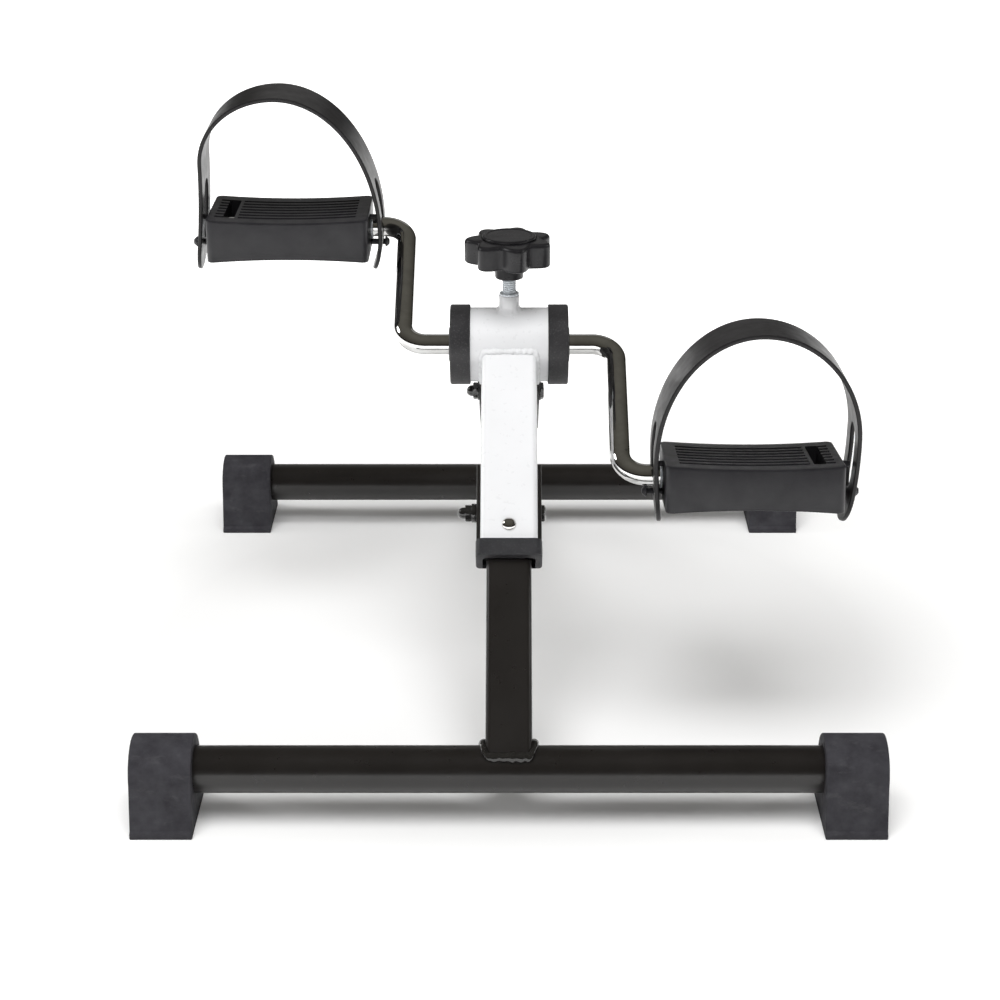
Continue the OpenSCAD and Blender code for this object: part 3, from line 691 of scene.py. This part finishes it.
def snap_button():
    radius = 3.95 * MM
    dome = 4.6 * MM
    top = STEM_W / 2 + 2.8 * MM
    centre = top - dome
    base_z = LEG_W / 2 - 2.6 * MM
    edge = math.asin(radius / dome)
    arc = [(dome * math.sin(edge * k / 14), centre + dome * math.cos(edge * k / 14)) for k in range(15)]
    outline = arc + [(radius, base_z + MM), (5.4 * MM, base_z + MM), (5.4 * MM, base_z), (0, base_z)]
    place = ON_STEM @ Matrix.Translation((0, 0, BUTTON_T)) @ Matrix.Rotation(-math.pi / 2, 4, "X")
    place_piece(lathe("snap_button_dome", outline, place, 64), "snap_button", "button_steel")


# ---- Bolts ----

HEX_R = 5.3 * MM
DOME_R = 3.3 * MM
M6_R = 3 * MM
CHAMFER = 0.5 * MM


def acorn_nut(node, place, face, hex_l):
    """A domed nut on the left, its inner face at -face, its dome ending at the CAD's own end."""
    end = -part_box(node)[0].x
    shoulder = face + hex_l
    rings = [hexagon(HEX_R, HEX_R - CHAMFER, face), hexagon(HEX_R, HEX_R, face + CHAMFER),
             hexagon(HEX_R, HEX_R, shoulder - CHAMFER), hexagon(HEX_R, HEX_R - CHAMFER, shoulder),
             round_ring(DOME_R + 0.3 * MM, shoulder), round_ring(DOME_R, shoulder + 0.3 * MM)]
    for a in quarter(9)[:-1]:
        rings.append(round_ring(DOME_R * math.cos(a), end - DOME_R + DOME_R * math.sin(a)))
    rings.append(round_ring(0.1 * MM, end))
    nut = skin(node + "_dome", rings, place @ MIRROR_X @ UP_TO_X)
    place_piece(nut, node, "black_hardware")


def bolt(node, place, face, shank_end):
    """A hexagon bolt with its head on the right and its shank running to the left."""
    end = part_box(node)[1].x
    rings = [round_ring(M6_R - CHAMFER, -shank_end), round_ring(M6_R, CHAMFER - shank_end),
             round_ring(M6_R, face), hexagon(HEX_R, HEX_R, face),
             hexagon(HEX_R, HEX_R, end - 2 * CHAMFER), hexagon(HEX_R, HEX_R - 1.2 * CHAMFER, end - CHAMFER),
             round_ring(HEX_R * 0.62, end), round_ring(HEX_R * 0.3, end)]
    place_piece(skin(node + "_hex", rings, place @ UP_TO_X), node, "black_hardware")


def ring_piece(name, place, inner, outer, z0, z1, edge=0.25 * MM, steps=64):
    return lathe(name, fillet([(inner, z0), (outer, z0), (outer, z1), (inner, z1)], edge, 3), place, steps)


def bolts():
    pivot_place = Matrix.Translation(PIVOT)
    nut_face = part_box("pivot_washers")[1].x
    acorn_nut("pivot_acorn_nut", pivot_place, nut_face, 2.6 * MM)
    bolt("pivot_bolt", pivot_place, nut_face, -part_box("pivot_bolt")[0].x)
    washers = [ring_piece("pivot_washers_pair", pivot_place @ side_place(side) @ UP_TO_X, M6_R, 5.6 * MM,
                          nut_face - MM, nut_face) for side in (RIGHT, LEFT)]
    place_piece(join(*washers), "pivot_washers", "black_hardware")

    bracket_place = ON_STEM @ Matrix.Translation((0, 0, BOLT_T))
    outer = -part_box("bracket_spacer")[0].x
    acorn_nut("bracket_acorn_nut", bracket_place, outer, 3.4 * MM)
    bolt("bracket_bolt", bracket_place, STEM_W / 2 + BRACKET_WALL, -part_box("bracket_bolt")[0].x)
    spacer = ring_piece("bracket_spacer_sleeve", bracket_place @ MIRROR_X @ UP_TO_X, M6_R, 5.4 * MM,
                        STEM_W / 2 + BRACKET_WALL, outer, 0.5 * MM)
    place_piece(spacer, "bracket_spacer", "black_hardware")


# ---- Hub ----

STUD_R = 4 * MM
HUB_WALL = 2.5 * MM
HUB_NECK_R = 10 * MM


def hub_barrel():
    tube = ring_piece("hub_barrel_tube", ON_HUB @ UP_TO_X, HUB_R - HUB_WALL, HUB_R, -HUB_END, HUB_END,
                      0.3 * MM, 160)
    place_piece(tube, "hub_barrel", "white_enamel")


def hub_cap(node, side):
    start = CAP_END - CAP_L
    points = [(HUB_R, start), (CAP_R, start), (CAP_R, CAP_END), (HUB_NECK_R, CAP_END), (HUB_NECK_R, HUB_END),
              (HUB_R, HUB_END)]
    radii = [0.2 * MM, 0.7 * MM, 1.1 * MM, 0.3 * MM, 0, 0]
    cap = lathe(node + "_shell", fillet(points, radii, 5), ON_HUB @ side_place(side) @ UP_TO_X, 128)
    place_piece(cap, node, "cap_plastic")


def hub_bushing(node, side):
    bore = ROD_R + RUNNING_GAP
    body_r = HUB_R - HUB_WALL
    points = [(bore, BUSHING_IN), (body_r, BUSHING_IN), (body_r, HUB_END), (HUB_NECK_R, HUB_END),
              (HUB_NECK_R, BUSHING_END), (bore, BUSHING_END)]
    radii = [0.3 * MM, 0.5 * MM, 0, 0, 0.4 * MM, 0.3 * MM]
    sleeve = lathe(node + "_sleeve", fillet(points, radii, 4), ON_HUB @ side_place(side) @ UP_TO_X, 96)
    place_piece(sleeve, node, "bushing_nylon")


def hub_boss():
    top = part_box("hub_boss")[1].z - HUB.z
    foot_z = HUB_R - 1.2 * MM
    boss_r = 6 * MM
    flare = 2.6 * MM
    bore = STUD_R + RUNNING_GAP
    curve = [(boss_r + flare * (1 - math.sin(a)), foot_z + 1.2 * MM + flare * (1 - math.cos(a)))
             for a in quarter(10)]
    rim = [(boss_r, top - 0.4 * MM), (boss_r - 0.15 * MM, top - 0.1 * MM), (boss_r - 0.5 * MM, top)]
    outline = [(bore, foot_z), (boss_r + flare, foot_z), *curve, *rim, (bore, top)]
    body = lathe("hub_boss_sleeve", outline, ON_HUB, 96)

    def settle(point):
        """Lets the flare follow the barrel's round top, with soft weld lumps."""
        local = point - HUB
        share = max(0, 1 - (local.z - HUB_R) / (4 * MM)) if local.z > foot_z else 1
        drop = HUB_R - math.sqrt(max(0, HUB_R ** 2 - local.y ** 2))
        lump = 0.8 * MM * noise.noise(Vector(point) / (2.6 * MM)) * share
        out = Vector((local.x, local.y, 0)).normalized()
        return point + out * lump - Vector((0, 0, drop * share))
    place_piece(reshape(body, settle), "hub_boss", "white_enamel", angle=60)


def stud_washer():
    low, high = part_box("stud_washer")
    ring = ring_piece("stud_washer_ring", Matrix.Identity(4), STUD_R + 0.1 * MM,
                      (high.x - low.x) / 2, low.z, high.z, 0.3 * MM)
    place_piece(ring, "stud_washer", "zinc")


def hub():
    hub_barrel()
    for node, side in (("left", LEFT), ("right", RIGHT)):
        hub_cap("hub_cap_" + node, side)
        hub_bushing("hub_bushing_" + node, side)
    hub_boss()
    stud_washer()


# ---- Tension screw ----

def tension_stud():
    """A screw with a true helical thread and a hexagon head inside the knob."""
    low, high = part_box("tension_stud")
    pitch = 1.25 * MM
    depth = 0.62 * MM
    steps = 48
    head_z = high.z - 5.3 * MM

    def thread_ring(z, share):
        ring = []
        for k in range(steps):
            phase = (z / pitch - k / steps) % 1
            tooth = min(1, 2.4 * abs(phase - 0.5))
            r = STUD_R - depth * share * (1 - tooth)
            ring.append((r * math.cos(TURN * k / steps), r * math.sin(TURN * k / steps), z))
        return ring
    count = int((head_z - low.z) / pitch * 10)
    heights = [low.z + (head_z - low.z) * k / count for k in range(count + 1)]
    rings = [[(0.8 * x, 0.8 * y, z) for x, y, z in thread_ring(low.z, 1)]]
    rings += [thread_ring(z, 1) for z in heights[3:]]
    head = [hexagon(7.5 * MM, 7.5 * MM, z, steps) for z in (head_z, high.z)]
    place_piece(skin("tension_stud_screw", rings + head), "tension_stud", "zinc", angle=50)


KNOB_LOBES = 7
LOBE_OUT = 25.8 * MM
LOBE_IN = 19.6 * MM
KNOB_RIM = 14.7 * MM


def lobe_radius(angle):
    """The knob's outline: round lobes with softer valleys between them."""
    wave = 0.5 - 0.5 * math.cos(KNOB_LOBES * angle)
    return LOBE_IN + (LOBE_OUT - LOBE_IN) * wave ** 0.82


def knob_body():
    low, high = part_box("knob_body")
    bottom = high.z - KNOB_RIM
    steps = 336
    neck = 8.3 * MM

    def lobed(inwards, z, share=1.0):
        """A ring drawn in from the knob's outline, with a share of its lobes."""
        ring = []
        for k in range(steps):
            a = TURN * k / steps
            r = LOBE_IN + share * (lobe_radius(a) - LOBE_IN) - inwards
            ring.append((r * math.cos(a), r * math.sin(a), z))
        return ring
    base_steps = ((4.2 * MM, 0), (neck - 0.7 * MM, 0), (neck - 0.2 * MM, 0.25 * MM), (neck, 0.8 * MM))
    flare = ((0.15 * MM, 0.8 * MM), (0.5 * MM, 0.2 * MM), (1.2 * MM, 0))
    rings = [round_ring(radius, low.z + up, steps) for radius, up in base_steps]
    rings += [round_ring(neck + out, bottom - down, steps) for out, down in flare]
    rings.append(lobed(5 * MM, bottom, 0.7))
    edge = 1.6 * MM
    rings += [lobed(edge * (1 - math.sin(a)), bottom + edge * (1 - math.cos(a))) for a in quarter(5)]
    crown = 2.4 * MM
    rings += [lobed(crown * (1 - math.sin(a)), high.z - 0.35 * MM - crown * (1 - math.cos(a)))
              for a in reversed(quarter(7))]
    rings.append(lobed(2.4 * MM, high.z, 0.3))
    seat = size("knob_cap").x / 2
    recess = ((0.9 * MM, 0), (0.55 * MM, 0.15 * MM), (0.45 * MM, 0.8 * MM), (-MM, 0.8 * MM))
    rings += [round_ring(seat + out, high.z - down, steps) for out, down in recess]
    place_piece(skin("knob_body_lobes", rings), "knob_body", "knob_plastic", angle=50)


def knob_cap():
    low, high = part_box("knob_cap")
    radius = (high.x - low.x) / 2
    outline = fillet([(0, low.z), (radius, low.z), (radius, high.z - 0.1 * MM), (radius - 2.2 * MM, high.z),
                      (radius - 2.9 * MM, high.z - 0.35 * MM), (0, high.z - 0.25 * MM)],
                     [0, 0, 0.9 * MM, 0.4 * MM, 0.3 * MM, 0], 4)
    place_piece(lathe("knob_cap_disc", outline, Matrix.Identity(4), 128), "knob_cap", "knob_plastic")


def tension_knob():
    tension_stud()
    knob_body()
    knob_cap()


# ---- Crank ----

BEND_R = 14 * MM
ARM_X = 62.8 * MM
ROD_EDGE = 0.8 * MM


def crank_line():
    """Half of the rod's centre line in (x, arm) and its heading, from the hub outwards."""
    reach = (Vector(JOINTS["left_pedal_spin"]["pos_m"]) - HUB).yz.length
    line = [(0, 0, 0)]
    for a in quarter(24):
        line.append((ARM_X - BEND_R + BEND_R * math.sin(a), BEND_R - BEND_R * math.cos(a), a))
    for a in quarter(24):
        line.append((ARM_X + BEND_R - BEND_R * math.cos(a), reach - BEND_R + BEND_R * math.sin(a),
                     math.pi / 2 - a))
    return line + [(CRANK_END - ROD_EDGE, reach, 0), (CRANK_END, reach, 0)]


def crank():
    arm = Vector(JOINTS["right_pedal_spin"]["pos_m"]) - HUB
    arm.x = 0
    arm.normalize()
    across = Vector((1, 0, 0))
    normal = across.cross(arm)
    rings = []
    half = crank_line()
    both = [(-x, -y, a) for x, y, a in reversed(half[1:])] + half
    for k, (x, y, heading) in enumerate(both):
        end = k in (0, len(both) - 1)
        radius = ROD_R - (ROD_EDGE if end else 0)
        side = arm * math.cos(heading) - across * math.sin(heading)
        centre = HUB + across * x + arm * y
        rings.append([centre + radius * (side * math.cos(a) + normal * math.sin(a))
                      for a in (TURN * i / 64 for i in range(64))])
    place_piece(skin("crank_rod", rings), "crank", "chrome_rod", angle=40)


def axle_retainers(node, side):
    """Pressed-on rings at both ends of a pedal's axle tube."""
    place = pedal_frame(side) @ UP_TO_X
    far = abs((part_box("axle_retainers_" + node)[1 if side == RIGHT else 0] -
               Vector(JOINTS[node + "_pedal_spin"]["pos_m"])).x)
    thick = 1.25 * MM
    radius = 7.5 * MM
    inner = ring_piece("axle_retainers_%s_rings" % node, place, ROD_R, radius, -far, thick - far, 0.35 * MM)
    points = [(0, far - thick), (radius, far - thick), (radius, far), (0, far)]
    outline = fillet(points, [0, 0.2 * MM, 0.6 * MM, 0], 4)
    outer = lathe("outer", outline, place, 64)
    place_piece(join(inner, outer), "axle_retainers_" + node, "zinc")


# ---- Pedals ----

PEDAL_W = 98.4 * MM
PEDAL_D = 62 * MM
PEDAL_H = 27 * MM
PEDAL_DROP = 1.3 * MM
PEDAL_SAG = 2 * MM
PEDAL_CORNER = 4 * MM
PEDAL_WALL = 2.6 * MM
PEDAL_ROOF = 6.5 * MM
GROOVES = 7
GROOVE_PITCH = 6.6 * MM
GROOVE_W = 3 * MM
GROOVE_DEPTH = 3 * MM
GROOVE_RUNS = ((-42 * MM, 31 * MM), (40.5 * MM, 45.5 * MM))
AXLE_TUBE_R = 9 * MM
PEDAL_SLOT = (36 * MM, 7 * MM, 42 * MM)            # its middle, its width and its depth
SLOT_FLOOR = -MM
SLOT_WALL = 2 * MM
PEG_Z = -9.4 * MM
PEG_L = 11.5 * MM


def pedal_half_height(x):
    """Half the pedal's height at x: it dips towards the middle."""
    radius = ((PEDAL_W / 2) ** 2 + PEDAL_SAG ** 2) / (2 * PEDAL_SAG)
    return PEDAL_H / 2 - PEDAL_SAG + radius - math.sqrt(radius ** 2 - x ** 2)


def pedal_half_depth(x):
    """Half the pedal's depth at x, round at the corners."""
    over = max(0, abs(x) - (PEDAL_W / 2 - PEDAL_CORNER))
    return PEDAL_D / 2 - PEDAL_CORNER + math.sqrt(max(0, PEDAL_CORNER ** 2 - over ** 2))


def ramp(value, start, stop):
    share = min(1, max(0, (value - start) / (stop - start)))
    return share * share * (3 - 2 * share)


def groove_depth(x, y):
    """How deep the tread is cut at a point, with soft edges."""
    soft = 0.3 * MM
    along = max(ramp(x, a - soft, a + soft) * ramp(-x, -b - soft, soft - b) for a, b in GROOVE_RUNS)
    rows = [abs(y - (k - (GROOVES - 1) / 2) * GROOVE_PITCH) for k in range(GROOVES)]
    return GROOVE_DEPTH * along * ramp(-min(rows), -GROOVE_W / 2 - soft, soft - GROOVE_W / 2)


def tread_lines():
    """Where the tread's grid lines lie along x and y: close together at every edge."""
    near = [k * 0.15 * MM for k in range(-3, 4)]
    xs = {round(a + d, 6) for run in GROOVE_RUNS for a in run for d in near}
    xs |= {round(PEDAL_W / 2 * k / 16, 6) for k in range(-16, 17)}
    ends = [PEDAL_W / 2 - PEDAL_CORNER * (1 - math.sin(a)) for a in quarter(7)]
    xs |= {round(s * x, 6) for x in ends for s in (-1, 1)}
    ys = {round((k - (GROOVES - 1) / 2) * GROOVE_PITCH + s * GROOVE_W / 2 + d, 6)
          for k in range(GROOVES) for s in (-1, 1) for d in near}
    ys |= {round(PEDAL_D / 2 * k / 10, 6) for k in (-10, -9, -8, 8, 9, 10)}
    return spaced(xs), spaced(ys)


def spaced(values, gap=0.1 * MM):
    """The values in order, without those that are nearly the same as the one before."""
    kept = []
    for value in sorted(values):
        if not kept or value - kept[-1] > gap:
            kept.append(value)
    return kept


def pedal_shell():
    """The outside of a pedal: a grooved top, a plain bottom and rounded edges."""
    xs, ys = tread_lines()
    edge = 1.1 * MM
    half_w, half_d = PEDAL_W / 2, PEDAL_D / 2
    verts, faces = [], []

    def spot(x, y, shrink):
        """A grid point moved onto the rounded outline, drawn in by shrink at the border."""
        depth = pedal_half_depth(x)
        return x * (1 - shrink / half_w), y / half_d * depth * (1 - shrink / half_d)
    for sign in (1, -1):
        base = len(verts)
        for x in xs:
            for y in ys:
                px, py = spot(x, y, edge)
                height = pedal_half_height(px)
                verts.append((px, py, height - groove_depth(x, y) if sign > 0 else -height))
        n = len(ys)
        faces += [(base + i * n + j, base + (i + 1) * n + j, base + (i + 1) * n + j + 1, base + i * n + j + 1)
                  for i in range(len(xs) - 1) for j in range(n - 1)]
    border = ([(x, ys[0]) for x in xs] + [(xs[-1], y) for y in ys[1:]]
              + [(x, ys[-1]) for x in reversed(xs[:-1])] + [(xs[0], y) for y in reversed(ys[1:-1])])
    levels = [(edge * (1 - math.sin(a)), edge * (1 - math.cos(a)), 1) for a in quarter(4)]
    levels += [(d, h, -1) for d, h, _ in reversed(levels)]
    n = len(border)
    start = len(verts)
    for shrink, drop, sign in levels:
        for x, y in border:
            px, py = spot(x, y, shrink)
            verts.append((px, py, sign * (pedal_half_height(px) - drop)))
    for k in range(len(levels) - 1):
        a = start + k * n
        faces += [(a + i, a + (i + 1) % n, a + n + (i + 1) % n, a + n + i) for i in range(n)]
    return clean(build("shell", verts, faces))


def pedal_peg(side):
    """A strap peg with a mushroom head, and the small hook above it, at one end of a pedal."""
    end = PEDAL_W / 2
    neck, head, tip = 1.8 * MM, 3.2 * MM, end + PEG_L
    points = [(0, end - MM), (neck, end - MM), (neck, tip - 2.8 * MM), (head, tip - 2.6 * MM),
              (head, tip - 1.9 * MM), (1.5 * MM, tip), (0, tip)]
    shape = fillet(points, [0, 0, 0.3 * MM, 0.3 * MM, 0.4 * MM, 0.5 * MM, 0], 3)
    place = side_place(side)
    peg = lathe("peg", shape, place @ Matrix.Translation((0, 0, PEG_Z)) @ UP_TO_X, 32)
    hook_r, hook_l = 1.6 * MM, 5.5 * MM
    hook_shape = fillet([(0, end - MM), (hook_r, end - MM), (hook_r, end + hook_l), (0, end + hook_l)],
                        [0, 0, 0.9 * MM, 0], 4)
    hook = lathe("hook", hook_shape, place @ Matrix.Translation((0, -6 * MM, 8 * MM)) @ UP_TO_X, 24)
    return [peg, hook]


def rod(name, radius, half):
    """A plain round bar along x, as long to the left as to the right."""
    return lathe(name, [(0, -half), (radius, -half), (radius, half), (0, half)], UP_TO_X, 64)


def pedal(node, side):
    body = pedal_shell()
    half = PEDAL_W / 2 - PEDAL_WALL
    stay = 20 * MM
    rib = PEDAL_WALL / 2
    spans = ((-half, -stay - rib), (rib - stay, stay - rib), (stay + rib, half))
    depth = PEDAL_D - 2 * PEDAL_WALL
    cutters = []
    for x0, x1 in spans:
        outline = rounded_rect(x1 - x0, depth, 1.5 * MM, 4)
        place = Matrix.Translation(((x0 + x1) / 2, 0, 0))
        cutters.append(prism("cavity", outline, -PEDAL_H, PEDAL_ROOF, place))
    combine(body, cutters)
    body.data.transform(Matrix.Translation((0, 0, -PEDAL_DROP)))
    middle_x, slot_w, slot_d = PEDAL_SLOT
    slot_place = Matrix.Translation((middle_x, 0, 0))
    pocket = prism("pocket", rounded_rect(slot_w + 2 * SLOT_WALL, slot_d + 2 * SLOT_WALL, 2 * MM, 4),
                   SLOT_FLOOR - SLOT_WALL, PEDAL_ROOF, slot_place)
    slot = prism("slot", rounded_rect(slot_w, slot_d, 0.8 * MM, 4), SLOT_FLOOR, PEDAL_H, slot_place)
    tube = rod("tube", AXLE_TUBE_R, PEDAL_W / 2 - MM)
    combine(body, [clean(tube), pocket], "UNION")
    bore = rod("bore", ROD_R + RUNNING_GAP, PEDAL_W)
    combine(body, [clean(bore), slot])
    join(body, *pedal_peg(RIGHT), *pedal_peg(LEFT))
    body.name = body.data.name = node + "_block"
    body.data.transform(pedal_frame(side))
    place_piece(body, node, "pedal_plastic", angle=40)


# ---- Straps ----

STRAP_W = 40 * MM
STRAP_T = 2.5 * MM
STRAP_SLOT_W = 16 * MM
STRAP_SLOT_LOW = -6.3 * MM
STRAP_SLOT_HIGH = 30.5 * MM
PEG_HOLE_R = 2 * MM
TIP_Z = -26
# Each strap bends in its own way, in mm, with a widest point outside and inside the foot; lean is in degrees
STRAP_TOP_Z = 84
STRAP_TIP_X = 51
LEFT_OUT_TIP_X = 57
STRAP_SHAPE = {
    LEFT: {"top_x": 6, "out_x": 52, "out_z": 44, "out_tip_x": LEFT_OUT_TIP_X,
           "in_x": 56, "in_z": -2, "lean": 1.5},
    RIGHT: {"top_x": 3, "out_x": 57, "out_z": 26, "out_tip_x": STRAP_TIP_X,
            "in_x": 54, "in_z": 13, "lean": 3.5},
}


def half_strap(way, top, wide):
    """Half of a strap's centre line in (x, z), from its tip up to the top of the arch."""
    reach, widest_z, tip_x = wide
    line = []
    for k in range(40):
        down = 1 - k / 40
        x = reach + (tip_x - reach) * down * down
        line.append(Vector((way * x, widest_z + (TIP_Z - widest_z) * down)))
    for a in quarter(90):
        line.append(Vector((top[0] + (way * reach - top[0]) * math.cos(a),
                            widest_z + (top[1] - widest_z) * math.sin(a))))
    return [point * MM for point in line]


def length_to(line, height):
    """How far along the line it first rises to a height."""
    length = 0.0
    for a, b in zip(line, line[1:]):
        if b.y > height:
            return length + (b - a).length * (height - a.y) / (b.y - a.y)
        length += (b - a).length
    return length


def strap(node, side):
    """A flat band with round ends, slots and peg holes, cut across in steps and bent over the arch."""
    shape = STRAP_SHAPE[side]
    lean = shape["lean"]
    top = (shape["top_x"], STRAP_TOP_Z)
    outside = (shape["out_x"], shape["out_z"], shape["out_tip_x"])
    inside = (shape["in_x"], shape["in_z"], STRAP_TIP_X)
    outer_half, inner_half = half_strap(1, top, outside), half_strap(-1, top, inside)
    line = outer_half + inner_half[-2::-1]
    reach = distances(line)
    length = reach[-1]
    half = STRAP_W / 2
    ends = [(0, 1, outer_half), (length, -1, inner_half)]
    outline = []
    for k in range(49):
        a = math.pi / 2 + math.pi * k / 48
        outline.append(Vector((half + half * math.cos(a), half * math.sin(a))))
    outline += [Vector((length - p.x, -p.y)) for p in outline]
    holes = []
    for start, way, half_line in ends:
        low, high = length_to(half_line, STRAP_SLOT_LOW), length_to(half_line, STRAP_SLOT_HIGH)
        middle_s = start + way * (low + high) / 2
        slot = [Vector((middle_s + p.x, p.y))
                for p in rounded_rect(high - low, STRAP_SLOT_W, 7.99 * MM, 16)]
        holes.append(list(reversed(slot)))
        holes.append(list(reversed(circle(start + way * length_to(half_line, PEG_Z), 0, PEG_HOLE_R))))
    band = prism(node + "_band", outline, -STRAP_T / 2, STRAP_T / 2, bevel=0.75 * MM, holes=holes)
    slice_along(band, 0, [length * k / 130 for k in range(1, 130)])

    def bend(point):
        s = min(max(point.x, 0), length)
        k = next((i for i, r in enumerate(reach) if r > s), len(line) - 1)
        a, b = line[k - 1], line[k]
        share = (s - reach[k - 1]) / (reach[k] - reach[k - 1])
        before = (line[k] - line[max(k - 2, 0)]).normalized()
        after = (line[min(k + 1, len(line) - 1)] - line[k - 1]).normalized()
        heading = before.lerp(after, share).normalized()
        spot = a.lerp(b, share) + Vector((heading.y, -heading.x)) * point.z
        return Vector((spot.x, point.y, spot.y))
    reshape(band, bend)
    about_pegs = Matrix.Translation((0, 0, PEG_Z))
    leaning = about_pegs @ Matrix.Rotation(math.radians(lean), 4, "X") @ about_pegs.inverted()
    band.data.transform(pedal_frame(side) @ leaning)
    place_piece(band, node, "strap_plastic", angle=40)


def crank_and_pedals():
    crank()
    for node, side in (("left", LEFT), ("right", RIGHT)):
        axle_retainers(node, side)
        pedal("pedal_" + node, side)
        strap("strap_" + node, side)


# ---- Studio ----

CAMERA_PLACE = (0.002, -1.232, 0.609)
CAMERA_PITCH = math.radians(67.5)
CAMERA_LENS = 79.16
CAMERA_SHIFT = -0.0126
LIGHTS_AIM = Vector((0, 0, 0.12))
FLOOR_HALF = 14
GLOW_START = 0.22
GLOW_FULL = 0.80


def camera():
    data = bpy.data.cameras.new("camera")
    data.sensor_width = 36
    data.lens = CAMERA_LENS
    data.shift_x = CAMERA_SHIFT
    data.clip_start = 0.05
    data.clip_end = 50
    made = bpy.data.objects.new("camera", data)
    made.location = CAMERA_PLACE
    made.rotation_euler = (CAMERA_PITCH, 0, 0)
    bpy.context.scene.collection.objects.link(made)
    bpy.context.scene.camera = made


def floor():
    """Pale paper with a painted glow: it glows more and more away from the object, up to white, which washes out
    the shadows cast there.
    """
    corners = [(x * FLOOR_HALF, y * FLOOR_HALF, 0) for x, y in ((-1, -1), (1, -1), (1, 1), (-1, 1))]
    made = build("floor", corners, [(0, 1, 2, 3)])
    paint = Finish("floor_paper", Roughness=0.95, Specular_IOR_Level=0.0)
    paint.shader.inputs["Emission Color"].default_value = tint(1, 1, 1)
    distance = paint.node("ShaderNodeVectorMath", {0: paint.place}, operation="LENGTH").outputs["Value"]
    # painted light: emission that rises with distance from the middle, so shadows away from the object are washed
    # out to white
    glow = paint.spread(distance, GLOW_START, GLOW_FULL, 0.0, 0.95)
    paint.tree.links.new(glow, paint.shader.inputs["Emission Strength"])
    paint.colour(paint.mix(paint.noise(0.4, 2), tint(0.89, 0.89, 0.89), tint(0.91, 0.91, 0.91)))
    made.data.materials.append(paint.material)


def soft_light(name, place, width, power, seen_in_gloss):
    data = bpy.data.lights.new(name, "AREA")
    data.shape = "DISK"
    data.size = width
    data.energy = power
    made = bpy.data.objects.new(name, data)
    made.location = place
    made.rotation_euler = (LIGHTS_AIM - Vector(place)).to_track_quat("-Z", "Y").to_euler()
    made.visible_glossy = seen_in_gloss
    bpy.context.scene.collection.objects.link(made)


def studio_world():
    """A dark room, lighter and warmer overhead, that the metals reflect, and a white backdrop."""
    world = bpy.data.worlds.new("studio")
    bpy.context.scene.world = world
    world.use_nodes = True
    tree = world.node_tree
    room = tree.nodes["Background"]
    place = tree.nodes.new("ShaderNodeTexCoord")
    split = tree.nodes.new("ShaderNodeSeparateXYZ")
    tree.links.new(place.outputs["Generated"], split.inputs[0])
    ramp_node = tree.nodes.new("ShaderNodeValToRGB")
    tree.links.new(split.outputs["Z"], ramp_node.inputs["Fac"])
    stops = ramp_node.color_ramp.elements
    stops[0].position = 0.0
    stops[0].color = (0.006, 0.006, 0.006, 1)
    stops[1].position = 1.0
    stops[1].color = (0.11, 0.105, 0.09, 1)
    for position, colour in ((0.14, (0.008, 0.008, 0.008, 1)), (0.24, (0.05, 0.046, 0.038, 1))):
        stops.new(position).color = colour
    tree.links.new(ramp_node.outputs["Color"], room.inputs["Color"])
    backdrop = tree.nodes.new("ShaderNodeBackground")
    backdrop.inputs["Color"].default_value = tint(1, 1, 1)
    choose = tree.nodes.new("ShaderNodeMixShader")
    tree.links.new(tree.nodes.new("ShaderNodeLightPath").outputs["Is Camera Ray"], choose.inputs[0])
    tree.links.new(room.outputs["Background"], choose.inputs[1])
    tree.links.new(backdrop.outputs["Background"], choose.inputs[2])
    tree.links.new(choose.outputs["Shader"], tree.nodes["World Output"].inputs["Surface"])


def studio():
    floor()
    studio_world()
    soft_light("ceiling", (0, -1.0, 2.9), 2.4, 84, False)
    soft_light("key", (-1.2, -1.0, 1.5), 2.2, 7, False)
    soft_light("front_fill", (-0.7, -2.6, 2.2), 2.5, 8, False)
    soft_light("left_fill", (-3.0, 0.2, 1.2), 2.5, 8, False)
    soft_light("right_fill", (3.0, 0.4, 1.2), 2.5, 2, False)
    soft_light("back_fill", (0, 3.0, 2.2), 2.5, 8, False)
    soft_light("back_sheen", (0, 3.2, 1.7), 2.2, 2.4, True)
    soft_light("left_strip", (-1.1, 0.25, 0.75), 0.4, 2.2, True)
    soft_light("right_strip", (1.2, 0.1, 0.9), 0.3, 1.5, True)
    bpy.context.scene.view_settings.view_transform = "Standard"


camera()
studio()
base()
stem_and_legs()
snap_button()
bolts()
hub()
tension_knob()
crank_and_pedals()
